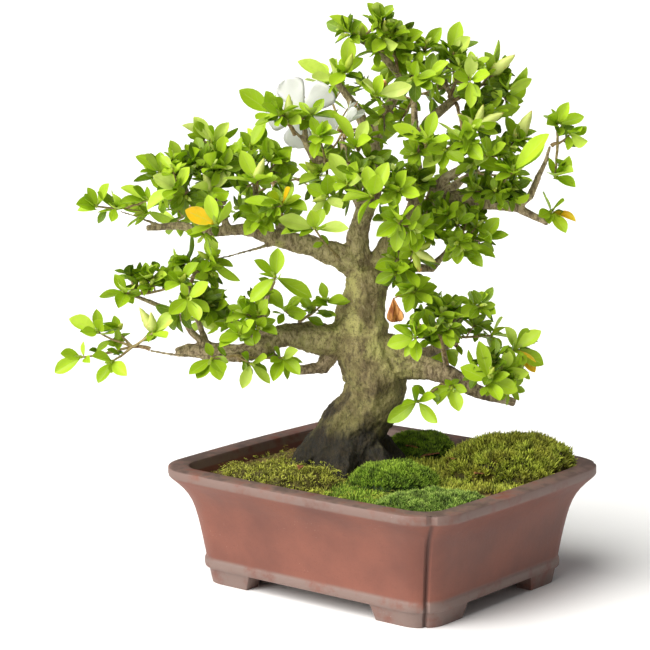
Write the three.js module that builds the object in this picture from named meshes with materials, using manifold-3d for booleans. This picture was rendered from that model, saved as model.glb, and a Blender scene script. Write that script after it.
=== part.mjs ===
// A kakuo satsuki azalea bonsai in its unglazed stoneware pot.
// Millimetres, +Z up. The pot's long side runs along X and its short side along Y. Everything is
// laid out round the middle of the pot, on the surface that its feet stand on, and the whole is
// then moved so that the origin is under the middle of the object's box.
// The tree is laid out in a frame of its own, turned by VIEW_TURN about Z: u runs to the right
// as seen from the front of the tree, v runs away from the viewer and z runs up.

import * as THREE from 'three';
import Module from 'manifold-3d';
import { mergeVertices } from 'three/addons/utils/BufferGeometryUtils.js';

const wasm = await Module();
wasm.setup();

// Driving dimensions of the pot
const RIM = { x: 225, y: 196 };
const FOOT = { x: 180, y: 148.5 };
const POT_HEIGHT = 76.5;
const FOOT_HEIGHT = 10;
const FOOT_SPAN = { x: 40, y: 38 };
const FOOT_THICKNESS = 11;
const RIM_CORNER = 30;
const FOOT_CORNER = 17.5;
const RIM_WIDTH = 13.5;
const WALL = 9;
const FLOOR_TOP = 18;
const SIDE_BOW = 1.8;
const GROOVE_DEPTH = 2.3;
const GROOVE_HALF_WIDTH = 2.2;
const DRAIN_RADIUS = 11;
const DRAIN_OFFSET = 45;
const DRAIN_SIDES = 14;
const SMALLEST_CORNER = 9;

// Driving dimensions of what fills it
const SOIL_TOP = 67.5;
const GAP = 0.3;
const SOIL_GAP = GAP + 0.05;
const VIEW_TURN = THREE.MathUtils.degToRad(38.4);

// Driving dimensions of a leaf and a bud
const LEAF_LENGTH = 17.5;
const LEAF_WIDTH = 0.58;
const BLADE_THICKNESS = 0.64;
const BLADE_ARCH = 0.14;
const BUD_RADIUS = 0.3;
const SMALLEST_BUD = 2.2;
const LEAF_CLEARANCE = 0.35;
const KNOB_RADIUS = 1.7;
const FORK_RADIUS = 2.6;
const TWIG = { start: 1.5, bend: 1.3, only: 1, fork: 0.75, knee: 0.7, end: 0.62 };
const TWIG_SAG = 0.06;
const LEAVES_PER_SHOOT = 3;
const LEAFY_SHOOTS = 2;
const LONG_TWIG = 24;
const FORK_TRIES = 40;
const FORK_SWAY = 2;
const LOOKS_ALONG = 0.35;
const KNOB_TURNS = 12;
const TOUCH = 0.001;

const FINISH = {
  clay: { color: 0x86574b, roughness: 0.7 },
  soil: { color: 0x3a2a1c, roughness: 1 },
  screen: { color: 0x202420, roughness: 0.6 },
  moss: { color: 0x7c9a2a, roughness: 1 },
  bark: { color: 0x7a7156, roughness: 0.95 },
  leaf: { color: 0x7fb62a, roughness: 0.45 },
  petal: { color: 0xf3f4ea, roughness: 0.5 },
};

// Seeded random numbers, so that every build grows the same tree
function seeded(seed) {
  let state = seed >>> 0;
  return () => {
    state = (state + 0x6d2b79f5) >>> 0;
    let t = Math.imul(state ^ (state >>> 15), state | 1);
    t = (t + Math.imul(t ^ (t >>> 7), t | 61)) ^ t;
    return ((t ^ (t >>> 14)) >>> 0) / 4294967296;
  };
}

const vec = ([x, y, z]) => new THREE.Vector3(x, y, z);
const mix = THREE.MathUtils.lerp;

// Closed solids from points and triangles
function geometryOf(points, triangles) {
  const geometry = new THREE.BufferGeometry();
  const flat = points.flatMap((p) => (Array.isArray(p) ? p : p.toArray()));
  geometry.setAttribute('position', new THREE.Float32BufferAttribute(flat, 3));
  geometry.setIndex(triangles.flat());
  return geometry;
}

function solidOf(geometry, matrix) {
  const bare = geometry.clone();
  Object.keys(bare.attributes)
    .filter((name) => name !== 'position')
    .forEach((name) => bare.deleteAttribute(name));
  if (matrix) bare.applyMatrix4(matrix);
  const merged = mergeVertices(bare, 1e-4);
  const mesh = new wasm.Mesh({
    numProp: 3,
    vertProperties: new Float32Array(merged.attributes.position.array),
    triVerts: new Uint32Array(merged.index.array),
  });
  return new wasm.Manifold(mesh);
}

const joined = (solids) => solids.reduce((sum, solid) => sum.add(solid));

// The largest single body of a solid: scraps that a cut leaves loose are dropped
function mainBody(solid) {
  const bodies = solid.decompose();
  return bodies.reduce((best, body) => (body.volume() > best.volume() ? body : best));
}

function meshOf(solid, name, finish) {
  const { vertProperties, triVerts } = solid.getMesh();
  const geometry = new THREE.BufferGeometry();
  geometry.setAttribute('position', new THREE.BufferAttribute(new Float32Array(vertProperties), 3));
  geometry.setIndex(new THREE.BufferAttribute(new Uint32Array(triVerts), 1));
  geometry.computeVertexNormals();
  const material = new THREE.MeshStandardMaterial({ metalness: 0, ...FINISH[finish] });
  const mesh = new THREE.Mesh(geometry, material);
  mesh.name = name;
  return mesh;
}

// A skin over rings of points, closed at both ends by a fan: from a corner of a small plain ring,
// and from the middle of any other
const PLAIN_RING = 8;

function loft(rings) {
  const sides = rings[0].length;
  const points = rings.flat();
  const triangles = [];
  for (let j = 0; j + 1 < rings.length; j += 1) {
    for (let i = 0; i < sides; i += 1) {
      const a = j * sides + i;
      const b = j * sides + ((i + 1) % sides);
      triangles.push([a, b, b + sides], [a, b + sides, a + sides]);
    }
  }
  for (const [row, flip] of [[0, true], [rings.length - 1, false]]) {
    if (sides <= PLAIN_RING) {
      const corner = row * sides;
      for (let i = 1; i + 1 < sides; i += 1) {
        const [b, c] = [corner + i, corner + i + 1];
        triangles.push(flip ? [corner, c, b] : [corner, b, c]);
      }
      continue;
    }
    const middle = points.length;
    const ring = rings[row].map((p) => vec(Array.isArray(p) ? p : p.toArray()));
    points.push(ring.reduce((sum, p) => sum.add(p), new THREE.Vector3()).divideScalar(sides));
    for (let i = 0; i < sides; i += 1) {
      const a = row * sides + i;
      const b = row * sides + ((i + 1) % sides);
      triangles.push(flip ? [middle, b, a] : [middle, a, b]);
    }
  }
  return geometryOf(points, triangles);
}

// The pot's outline: bowed sides, round corners and a groove down each corner
function potOutline(halfX, halfY, radius, groove, bow) {
  const outline = [];
  const corners = [[1, 1], [-1, 1], [-1, -1], [1, -1]];
  corners.forEach(([sx, sy], quarter) => {
    const lip = GROOVE_HALF_WIDTH / radius;
    const eighth = Math.PI / 4;
    const turns = [0, eighth / 2, eighth - lip, eighth, eighth + lip, 1.5 * eighth, 2 * eighth];
    turns.forEach((turn, i) => {
      const r = i === 3 ? radius - groove : radius;
      const angle = quarter * 2 * eighth + turn;
      const x = sx * (halfX - radius) + r * Math.cos(angle);
      const y = sy * (halfY - radius) + r * Math.sin(angle);
      outline.push([x, y]);
    });
    outline.push(quarter % 2 === 0 ? [0, sy * (halfY + bow)] : [sx * (halfX + bow), 0]);
  });
  return outline;
}

// The pot's section: height, and how far the wall has flared from the foot line to the rim
const OUTSIDE = [
  [FOOT_HEIGHT, 0.1], [11, 0.158], [15.6, 0.16], [17.4, 0.135], [40, 0.295], [52, 0.425], [60, 0.6],
  [67, 0.86], [70.6, 1], [POT_HEIGHT, 1],
];
const INSIDE = [
  [POT_HEIGHT, 1, RIM_WIDTH], [67, 0.95, RIM_WIDTH], [54, 0.46, WALL], [24, 0.17, WALL],
  [FLOOR_TOP, 0.1, WALL + 4],
];

function flaredOutline(share, inset, groove) {
  const halfX = mix(FOOT.x, RIM.x, share) / 2 - inset;
  const halfY = mix(FOOT.y, RIM.y, share) / 2 - inset;
  const radius = Math.max(mix(FOOT_CORNER, RIM_CORNER, share) - inset, SMALLEST_CORNER);
  return potOutline(halfX, halfY, radius, groove, SIDE_BOW * share);
}

const lift = (outline, z) => outline.map(([x, y]) => [x, y, z]);

function prism(outline, low, high) {
  return loft([lift(outline, low), lift(outline, high)]);
}

function trapezoidAlong(axis, bottomHalf, topHalf, reach) {
  const shape = new THREE.Shape();
  shape.moveTo(-bottomHalf, -1);
  shape.lineTo(bottomHalf, -1);
  shape.lineTo(topHalf, FOOT_HEIGHT);
  shape.lineTo(-topHalf, FOOT_HEIGHT);
  const block = new THREE.ExtrudeGeometry(shape, { depth: 2 * reach, bevelEnabled: false });
  block.translate(0, 0, -reach).rotateX(Math.PI / 2);
  return axis === 'x' ? block.rotateZ(Math.PI / 2) : block;
}

// Four feet: the corners of a low wall under the pot, which stand on their flat undersides
function potFeet() {
  const slant = 2;
  const wall = loft([
    lift(flaredOutline(0, 0, GROOVE_DEPTH), 0),
    lift(flaredOutline(0.08, 0, GROOVE_DEPTH), FOOT_HEIGHT + 0.5),
  ]);
  const hollow = prism(flaredOutline(0, FOOT_THICKNESS, 0), -1, FOOT_HEIGHT + 1);
  const gapX = FOOT.x / 2 - FOOT_SPAN.x;
  const gapY = FOOT.y / 2 - FOOT_SPAN.y;
  const alongY = trapezoidAlong('y', gapX + slant, gapX - slant, FOOT.y);
  const alongX = trapezoidAlong('x', gapY + slant, gapY - slant, FOOT.x);
  return solidOf(wall).subtract(solidOf(hollow)).subtract(solidOf(alongY)).subtract(solidOf(alongX));
}

function drainHole(x) {
  const cutter = new THREE.CylinderGeometry(DRAIN_RADIUS, DRAIN_RADIUS, 2 * FLOOR_TOP, DRAIN_SIDES);
  return solidOf(cutter.rotateX(Math.PI / 2).translate(x, 0, FLOOR_TOP / 2));
}

function pot() {
  const rings = [
    ...OUTSIDE.map(([z, share]) => lift(flaredOutline(share, 0, GROOVE_DEPTH), z)),
    ...INSIDE.map(([z, share, inset]) => lift(flaredOutline(share, inset, 0), z)),
  ];
  const body = solidOf(loft(rings));
  return body.subtract(drainHole(-DRAIN_OFFSET)).subtract(drainHole(DRAIN_OFFSET)).add(potFeet());
}

// The soil fills the pot up to a mound round the trunk
const TRUNK_FOOT = { u: -24, v: 18 };
const MOUND_HEIGHT = 9.5;
const MOUND_REACH = 42;

const treeTurn = new THREE.Matrix4().makeRotationZ(VIEW_TURN);

function potPoint(u, v, z = 0) {
  return new THREE.Vector3(u, v, z).applyMatrix4(treeTurn);
}

function soilHeight(x, y) {
  const foot = potPoint(TRUNK_FOOT.u, TRUNK_FOOT.v);
  const away = Math.hypot(x - foot.x, y - foot.y) / MOUND_REACH;
  const ripple = 0.8 * Math.sin(x / 13 + 1) * Math.cos(y / 11);
  return SOIL_TOP + MOUND_HEIGHT * Math.exp(-away * away) + ripple;
}

// The inner wall of the pot at a height, moved inwards by a clearance
function insideOutline(z, clearance) {
  const row = INSIDE.findIndex(([level]) => level <= z);
  const [highZ, highShare, highInset] = INSIDE[row - 1];
  const [lowZ, lowShare, lowInset] = INSIDE[row];
  const part = (z - lowZ) / (highZ - lowZ);
  return flaredOutline(mix(lowShare, highShare, part), mix(lowInset, highInset, part) + clearance, 0);
}

const SCREEN_SIZE = 32;
const SCREEN_THICKNESS = 1;
const SCREEN_BARS = 3;
const SCREEN_BAR = 2.6;

function screenBlock(x, spare) {
  const side = SCREEN_SIZE + 2 * spare;
  const block = new THREE.BoxGeometry(side, side, SCREEN_THICKNESS + 2 * spare);
  return block.translate(x, 0, FLOOR_TOP + GAP + SCREEN_THICKNESS / 2);
}

function drainScreen(x) {
  const pitch = (SCREEN_SIZE - SCREEN_BAR) / (SCREEN_BARS - 1);
  const bars = Array.from({ length: SCREEN_BARS }, (_, i) => {
    const off = i * pitch - (SCREEN_SIZE - SCREEN_BAR) / 2;
    const along = new THREE.BoxGeometry(SCREEN_SIZE, SCREEN_BAR, SCREEN_THICKNESS).translate(0, off, 0);
    const across = new THREE.BoxGeometry(SCREEN_BAR, SCREEN_SIZE, SCREEN_THICKNESS).translate(off, 0, 0);
    return [along, across];
  }).flat();
  const height = FLOOR_TOP + GAP + SCREEN_THICKNESS / 2;
  return joined(bars.map((bar) => solidOf(bar.translate(x, 0, height))));
}

function soil(spare = 0) {
  const clearance = SOIL_GAP - spare;
  const levels = [FLOOR_TOP + GAP, 24, 54];
  const coarse = (outline) => outline.filter((_, i) => ![2, 3, 4].includes(i % 8));
  const rings = levels.map((z) => lift(coarse(insideOutline(z, clearance)), z));
  const rimRing = coarse(insideOutline(SOIL_TOP, clearance));
  for (const share of [1, 0.72, 0.4]) {
    const ring = rimRing.map(([x, y]) => [x * share, y * share]);
    rings.push(ring.map(([x, y]) => [x, y, soilHeight(x, y) + spare]));
  }
  return loft(rings);
}

// Moss cushions, each a bumpy dome on the soil: middle and reach in the tree's frame, and its top
const MOSS = [
  { name: 'moss_cushion_right', at: [84, 2], reach: [46, 36], top: 93, seed: 11 },
  { name: 'moss_dome_front', at: [6, -32], reach: [31, 23], top: 85, seed: 12 },
  { name: 'moss_frosted_corner', at: [30, -84], reach: [40, 24], top: 78.5, seed: 13 },
  { name: 'moss_strands_left', at: [-68, -28], reach: [48, 19], top: 80, seed: 14 },
  { name: 'moss_tuft_back', at: [26, 52], reach: [26, 22], top: 85, seed: 15 },
];
const MOSS_SIDES = 13;

function mossDome({ at, reach, top, seed }) {
  const random = seeded(seed);
  const base = SOIL_TOP - 3;
  const rings = [1, 0.95, 0.7, 0.36].map((share, row) => {
    const height = row === 0 ? base : mix(SOIL_TOP, top, Math.sqrt(Math.max(0, 1 - share * share)));
    return Array.from({ length: MOSS_SIDES }, (_, i) => {
      const angle = (i + 0.5 * (row % 2)) / MOSS_SIDES * 2 * Math.PI;
      const wobble = 1 + 0.1 * (random() - 0.5);
      const bump = row === 0 ? 0 : 2.2 * (random() - 0.5);
      const u = at[0] + reach[0] * share * wobble * Math.cos(angle);
      const v = at[1] + reach[1] * share * wobble * Math.sin(angle);
      return potPoint(u, v, height + bump);
    });
  });
  return loft(rings);
}

// The wood: the trunk, its surface roots and every branch, as points [u, v, z, radius]
const TRUNK = [
  [-26, 20, 46, 24], [-26, 20, 62, 30], [-24, 19, 77, 27], [-22, 18, 93, 23.5], [-13, 16, 106, 20],
  [-6, 15, 117, 20.5], [-4, 13, 127, 20.3], [-8, 11, 140, 20.5], [-14, 10, 154, 18.8],
  [-15, 9, 166, 18.2], [-13, 8, 178, 14.4], [-10, 7, 189, 15.6], [-13, 5, 203, 12.5],
];
const LIMBS = {
  root_left: [[-27, 16, 95, 13], [-38, 14, 87, 12.5], [-48, 13, 77, 10], [-59, 12, 62, 6]],
  root_right: [[-12, 22, 92, 11], [0, 26, 81, 10], [15, 30, 66, 6]],
  root_front: [[-22, 10, 88, 11], [-24, -4, 79, 9], [-27, -19, 67, 5]],
  root_back: [[-26, 32, 88, 11], [-30, 46, 77, 9], [-35, 60, 63, 5]],
  root_corner: [[-14, 12, 88, 11], [-3, 2, 79, 8], [8, -7, 68, 4.5]],
  left: [
    [-15, 4, 202, 10.5], [-29, 2, 211, 8.6], [-46, 0, 217, 7.2], [-62, -3, 221, 5.8], [-88, -5, 228, 4.3],
    [-111, -4, 226, 3.5], [-128, -2, 230, 2.9], [-149, 0, 228, 2.1],
  ],
  left_tip: [[-139, -1, 229, 1.7], [-154, -6, 236, 1.3], [-168, -8, 241, 0.9]],
  left_twig: [[-62, -3, 221, 2.2], [-78, -9, 217, 1.5], [-98, -14, 212, 1.2], [-112, -14, 210, 0.9]],
  left_riser: [[-111, -4, 226, 2.4], [-116, -8, 240, 2], [-123, -10, 255, 1.3]],
  left_spire: [[-98, -5, 227, 3], [-102, -6, 244, 2.4], [-108, -6, 260, 1.9], [-110, -4, 274, 1.3]],
  left_shoulder: [[-81, -5, 226, 3.2], [-79, -12, 241, 2.6], [-80, -14, 255, 2.1], [-83, -8, 270, 1.4]],
  leader: [
    [-13, 5, 200, 10], [-17, 4, 221, 7.6], [-12, 2, 238, 6.8], [-5, 0, 255, 6.2], [-4, -2, 271, 5.6],
    [-9, -2, 287, 4.8], [-16, -2, 301, 3.8], [-22, -3, 310, 3], [-30, -4, 321, 2],
  ],
  fork: [
    [-6, 0, 253, 4.6], [-18, -4, 262, 4], [-29, -8, 268, 3.5], [-44, -10, 273, 3],
    [-48, -12, 282, 2.5], [-50, -12, 295, 1.7],
  ],
  fork_tip: [[-47, -12, 281, 2], [-54, -14, 289, 1.6], [-62, -16, 297, 1.1]],
  apex: [[-7, -2, 283, 4.4], [2, -4, 303, 3.8], [12, -6, 320, 3.3], [2, -8, 333, 2.8], [-13, -8, 345, 1.8]],
  right: [
    [-6, 8, 196, 12.5], [6, 6, 214, 10.8], [17, 4, 229, 9.4], [30, 0, 241, 7.8], [45, -4, 248, 6],
    [61, -6, 245, 4.4], [83, -6, 242, 3.4], [103, -8, 232, 2],
  ],
  right_riser: [
    [83, -6, 242, 3.2], [91, -8, 249, 2.8], [95, -8, 259, 2.4], [101, -8, 272, 1.8],
    [103, -8, 281, 1.3],
  ],
  right_leader: [
    [17, 4, 229, 7], [21, 8, 245, 6.2], [20, 8, 263, 5.4], [19, 8, 278, 4.6], [29, 6, 296, 3.8],
    [43, 4, 308, 3.3], [37, 4, 321, 2.4],
  ],
  cut_branch: [[30, 0, 241, 5], [31, -6, 253, 4.4], [39, -10, 261, 3.8], [53, -12, 270, 2.6]],
  low_right: [[4, 8, 199, 5.5], [17, 6, 203, 4], [30, 2, 202, 3.1], [39, -6, 213, 2.3], [59, -12, 223, 1.4]],
  pad: [
    [1, 10, 148, 13], [14, 4, 142, 11], [29, -2, 139, 8.2], [44, -8, 134, 6.6], [59, -12, 126, 5],
    [74, -14, 122, 4.2], [83, -14, 119, 3],
  ],
  pad_knob: [[64, -12, 124, 3.4], [74, -8, 129, 3.2], [82, -8, 134, 2.6]],
  pad_twig: [[44, -8, 133, 2.2], [39, -12, 142, 1.8], [37, -14, 152, 1.5], [37, -16, 161, 1.1]],
  low_left: [
    [-22, 9, 155, 13], [-41, 2, 158, 11], [-54, -2, 160, 9.2], [-66, -8, 160, 7.6], [-76, -12, 154, 8],
    [-90, -12, 150, 5.8], [-107, -10, 151, 6], [-123, -8, 152, 4.6], [-131, -8, 150, 2.8],
  ],
  under: [
    [-31, 6, 150, 6.5], [-39, 2, 138, 4.8], [-53, -4, 138, 3.5], [-64, -10, 143, 3.2],
    [-72, -13, 151, 2.8],
  ],
  long_twig: [
    [-79, -14, 155, 2.2], [-94, -20, 152, 1.7], [-109, -22, 150, 1.5], [-129, -22, 151, 1.4],
    [-146, -22, 154, 1.3],
  ],
  cloud_left: [
    [-110, -8, 154, 3.4], [-121, -12, 164, 2.7], [-126, -14, 173, 2.3], [-139, -16, 181, 1.9],
    [-154, -16, 187, 1.5], [-166, -16, 191, 1],
  ],
  cloud_top: [[-111, -8, 154, 3], [-116, -2, 167, 2.2], [-122, 0, 180, 1.8], [-122, 0, 194, 1.2]],
  low_riser: [[-73, -8, 158, 4.4], [-77, -14, 169, 3.2], [-74, -18, 182, 2.4], [-71, -20, 193, 1.5]],
  back_left_tip: [[-111, -4, 226, 2.8], [-118, 14, 230, 2.3], [-122, 32, 236, 1.5]],
  back_left: [[-62, -3, 221, 4.4], [-66, 16, 234, 3.2], [-70, 34, 248, 1.8]],
  back_crown: [[-12, 2, 238, 5], [-20, 20, 256, 3.8], [-26, 36, 280, 2.2]],
  back_apex: [[19, 8, 278, 4], [20, 24, 292, 3.1], [20, 38, 306, 1.8]],
  back_right: [[30, 0, 241, 5.2], [42, 18, 250, 3.8], [56, 36, 258, 2]],
  back_low_left: [[-76, -12, 154, 5], [-88, 8, 160, 3.6], [-100, 28, 170, 2]],
  back_pad: [[14, 6, 142, 6], [28, 22, 144, 4.4], [48, 38, 148, 2.2]],
};
const ROUND_TRIP = 2 * Math.PI;

function curveOf(points) {
  return new THREE.CatmullRomCurve3(points.map(vec), false, 'centripetal');
}

// A tapering stem along a smooth curve: its bark swells and dips by a seeded share of its radius
function stem(points, { sides, steps, rough = 0, spare = 0, seed = 1, reach = 0 }) {
  const curve = curveOf(points);
  const random = seeded(seed);
  const frames = curve.computeFrenetFrames(steps, false);
  const rings = [];
  for (let j = 0; j <= steps; j += 1) {
    const part = j / steps;
    const place = curve.getPoint(part);
    const exact = part * (points.length - 1);
    const k = Math.min(Math.floor(exact), points.length - 2);
    const radius = mix(points[k][3], points[k + 1][3], exact - k);
    if (j === 0) place.addScaledVector(frames.tangents[0], -reach);
    if (j === steps) place.addScaledVector(frames.tangents[steps], reach);
    const ring = [];
    for (let i = 0; i < sides; i += 1) {
      const angle = i / sides * ROUND_TRIP;
      const r = radius * (1 + rough * (random() - 0.5)) + spare;
      ring.push(place.clone()
        .addScaledVector(frames.normals[j], r * Math.cos(angle))
        .addScaledVector(frames.binormals[j], r * Math.sin(angle)));
    }
    rings.push(ring);
  }
  return loft(rings);
}

function woodSolid(spare, matrix) {
  const trunkBark = { sides: 9, steps: 15, rough: 0.13, spare, seed: 5, reach: spare };
  const parts = [solidOf(stem(TRUNK, trunkBark), matrix)];
  Object.values(LIMBS).forEach((points, index) => {
    const widest = points[0][3];
    const sides = widest > 9 ? 6 : widest > 4 ? 5 : widest > 2.5 ? 4 : 3;
    const steps = points.length - 1;
    const bark = { sides, steps, rough: 0.16, spare, seed: 40 + index, reach: spare };
    parts.push(solidOf(stem(points, bark), matrix));
  });
  return joined(parts);
}

// The shoots of the front and the sides of the crown: where each whorl stands, and its leaves and
// buds as [angle in the front view, length seen there, turn about its own midrib]
const SPRAYS = [
  { name: 'left_tip', from: [-166, -8, 240], shoots: [
    { at: [-179, -10, 243], leaves: [[165, 12], [130, 10], [60, 9]] },
    { at: [-167, -14, 243], leaves: [[95, 11], [65, 10]] },
    { at: [-148, -8, 239], leaves: [[165, 15], [-10, 16, 75], [-145, 14, 75]], buds: [[-175, 8]] },
    { at: [-146, -20, 248], leaves: [[155, 19], [-175, 14], [130, 13]] },
  ] },
  { name: 'left_crest', from: [-115, -6, 233], shoots: [
    { at: [-139, -16, 265], leaves: [[145, 18], [125, 12], [20, 12]] },
    { at: [-127, -4, 267], leaves: [[110, 18], [65, 12]] },
    { at: [-127, -34, 257], leaves: [[150, 17], [60, 16], [-145, 23], [-150, 8]] },
  ] },
  { name: 'left_top', from: [-106, -6, 262], shoots: [
    { at: [-107, -2, 282], leaves: [[125, 20], [100, 12], [50, 17], [150, 22, 75], [30, 19, 75]] },
    { at: [-102, -16, 274], leaves: [[75, 15], [30, 13]] },
    { at: [-106, -28, 269], leaves: [[90, 11], [40, 11, 75]] },
    { at: [-120, -14, 269], leaves: [[60, 13], [130, 11]] },
  ] },
  { name: 'left_heart', from: [-101, -6, 243], shoots: [
    { at: [-107, -28, 254], leaves: [[155, 12, 75], [5, 12, 75], [45, 12]], buds: [[105, 15]] },
    { at: [-103, -42, 236], leaves: [[105, 19], [60, 17, 60], [-160, 19], [155, 21]] },
  ] },
  { name: 'left_shoulder', from: [-80, -13, 244], shoots: [
    { at: [-79, -38, 262], leaves: [[115, 21], [175, 20, 75], [25, 11]], buds: [[70, 16]] },
    { at: [-83, -4, 279], leaves: [[60, 19], [-170, 9]] },
    { at: [-66, -12, 271], leaves: [[115, 17], [50, 12, 75], [-15, 14, 75]] },
  ] },
  { name: 'left_front', from: [-76, -6, 224], shoots: [
    { at: [-63, -48, 249], leaves: [[175, 23], [-10, 16], [65, 13], [140, 11]] },
    { at: [-78, -26, 242], leaves: [[-120, 16], [165, 12], [-50, 12]] },
  ] },
  { name: 'waist_front', from: [-34, 0, 212], shoots: [
    { at: [-43, -46, 234], leaves: [[-170, 21], [0, 21], [100, 13], [165, 23]] },
  ] },
  { name: 'inner_left', from: [-34, -8, 269], shoots: [
    { at: [-40, -24, 288], leaves: [[-105, 13], [-25, 8], [80, 11], [40, 10]] },
    { at: [-40, -14, 263], leaves: [[125, 17], [-165, 13], [40, 11]], buds: [[135, 13]] },
    { at: [-35, -32, 252], leaves: [[90, 15], [-125, 12], [-35, 10]], buds: [[-165, 10]] },
  ] },
  { name: 'flower_branch', from: [-58, -14, 292], shoots: [
    { at: [-69, -20, 302], leaves: [[145, 25], [160, 18, 60], [-165, 10], [105, 15]] },
    { at: [-64, -28, 302], leaves: [[105, 12], [150, 13]] },
  ] },
  { name: 'branch_fork', from: [-50, -12, 292], shoots: [
    { at: [-45, -14, 300], leaves: [[60, 9], [-5, 19], [170, 11, 60], [120, 7]] },
    { at: [-59, -18, 299], leaves: [[-15, 8]], buds: [[90, 16]] },
  ] },
  { name: 'crown_left', from: [-27, -4, 317], shoots: [
    { at: [-31, -16, 323], leaves: [[105, 13], [175, 14], [155, 25]] },
    { at: [-24, -24, 328], leaves: [[85, 21], [-140, 12]], buds: [[70, 12]] },
  ] },
  { name: 'apex', from: [-13, -8, 344], shoots: [
    { at: [-13, -12, 346], leaves: [[145, 26], [110, 23], [145, 13]], buds: [[95, 10]] },
    { at: [-3, -6, 358], leaves: [[40, 11], [100, 12, 75], [130, 8]] },
  ] },
  { name: 'crown_mid', from: [7, -6, 326], shoots: [
    { at: [0, -12, 346], leaves: [[-140, 10], [-10, 8, 75]], buds: [[90, 13]] },
    { at: [10, -4, 343], leaves: [[80, 13], [15, 8, 75], [30, 13]] },
    { at: [10, 0, 333], leaves: [[30, 9, 75], [-10, 9, 75]], buds: [[120, 11]] },
  ] },
  { name: 'crown_front', from: [2, -5, 301], shoots: [
    { at: [-6, -36, 314], leaves: [[15, 23], [130, 13], [-10, 21], [75, 14]] },
  ] },
  { name: 'crown_back_right', from: [17, 0, 318], shoots: [
    { at: [25, -2, 339], leaves: [[55, 18], [130, 14, 60], [95, 10]], buds: [[85, 7]] },
    { at: [27, -16, 325], leaves: [[35, 15], [155, 16, 60], [-145, 10], [-35, 9]] },
  ] },
  { name: 'crown_right', from: [41, 4, 313], shoots: [
    { at: [41, 0, 336], leaves: [[75, 22], [45, 17], [125, 11]] },
    { at: [52, -26, 323], leaves: [[90, 16], [165, 12], [20, 12], [-90, 17]] },
  ] },
  { name: 'right_bud', from: [48, -2, 306], shoots: [
    { at: [65, -10, 325], leaves: [[75, 23, 75], [105, 15]], buds: [[40, 20]] },
    { at: [76, -6, 315], leaves: [[80, 11], [25, 17, 75], [50, 19, 75], [130, 9]] },
  ] },
  { name: 'right_yellow', from: [46, 0, 297], shoots: [
    { at: [62, -12, 301], leaves: [[55, 18], [10, 14], [10, 24, 75]] },
    { at: [56, -26, 294], leaves: [[20, 12, 60]], buds: [[145, 15], [75, 15], [30, 19]] },
    { at: [48, -42, 287], leaves: [[95, 14], [145, 20, 75], [-45, 15]] },
  ] },
  { name: 'right_mid', from: [25, 2, 271], shoots: [
    { at: [25, -44, 287], leaves: [[155, 23], [115, 12], [75, 19], [10, 14]] },
    { at: [37, -28, 280], leaves: [[-145, 17], [175, 12], [-30, 12]] },
  ] },
  { name: 'right_inner', from: [56, -12, 270], shoots: [
    { at: [63, -28, 276], leaves: [[115, 13], [40, 14], [-155, 9]] },
    { at: [81, -12, 283], leaves: [[110, 16], [65, 14], [160, 12, 60]], buds: [[65, 23]] },
  ] },
  { name: 'right_big', from: [64, -6, 247], shoots: [
    { at: [78, -30, 267], leaves: [[40, 26], [50, 37], [100, 13], [165, 25]] },
    { at: [75, -16, 248], leaves: [[90, 9], [20, 8, 75]] },
    { at: [62, -8, 251], leaves: [[50, 13], [25, 23, 75], [130, 12]] },
  ] },
  { name: 'right_tip', from: [103, -8, 278], shoots: [
    { at: [107, -8, 294], leaves: [[65, 16], [15, 17], [135, 10, 60], [170, 8]] },
    { at: [115, -10, 288], leaves: [[35, 11, 75], [-15, 10, 75], [35, 6]] },
    { at: [106, -12, 262], leaves: [[25, 11], [-25, 7], [60, 16, 60]] },
  ] },
  { name: 'right_stub', from: [101, -8, 234], shoots: [
    { at: [104, -10, 240], leaves: [[115, 15, 50], [50, 11], [-20, 16], [-55, 15], [-170, 9]] },
  ] },
  { name: 'heart_left', from: [-7, -2, 265], shoots: [
    { at: [-18, -30, 283], leaves: [[65, 17], [30, 11], [125, 24]] },
    { at: [-23, -36, 260], leaves: [[120, 22], [70, 16], [-160, 12], [30, 10]] },
  ] },
  { name: 'heart_front', from: [-11, 2, 242], shoots: [
    {
      at: [-8, -48, 254],
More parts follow.
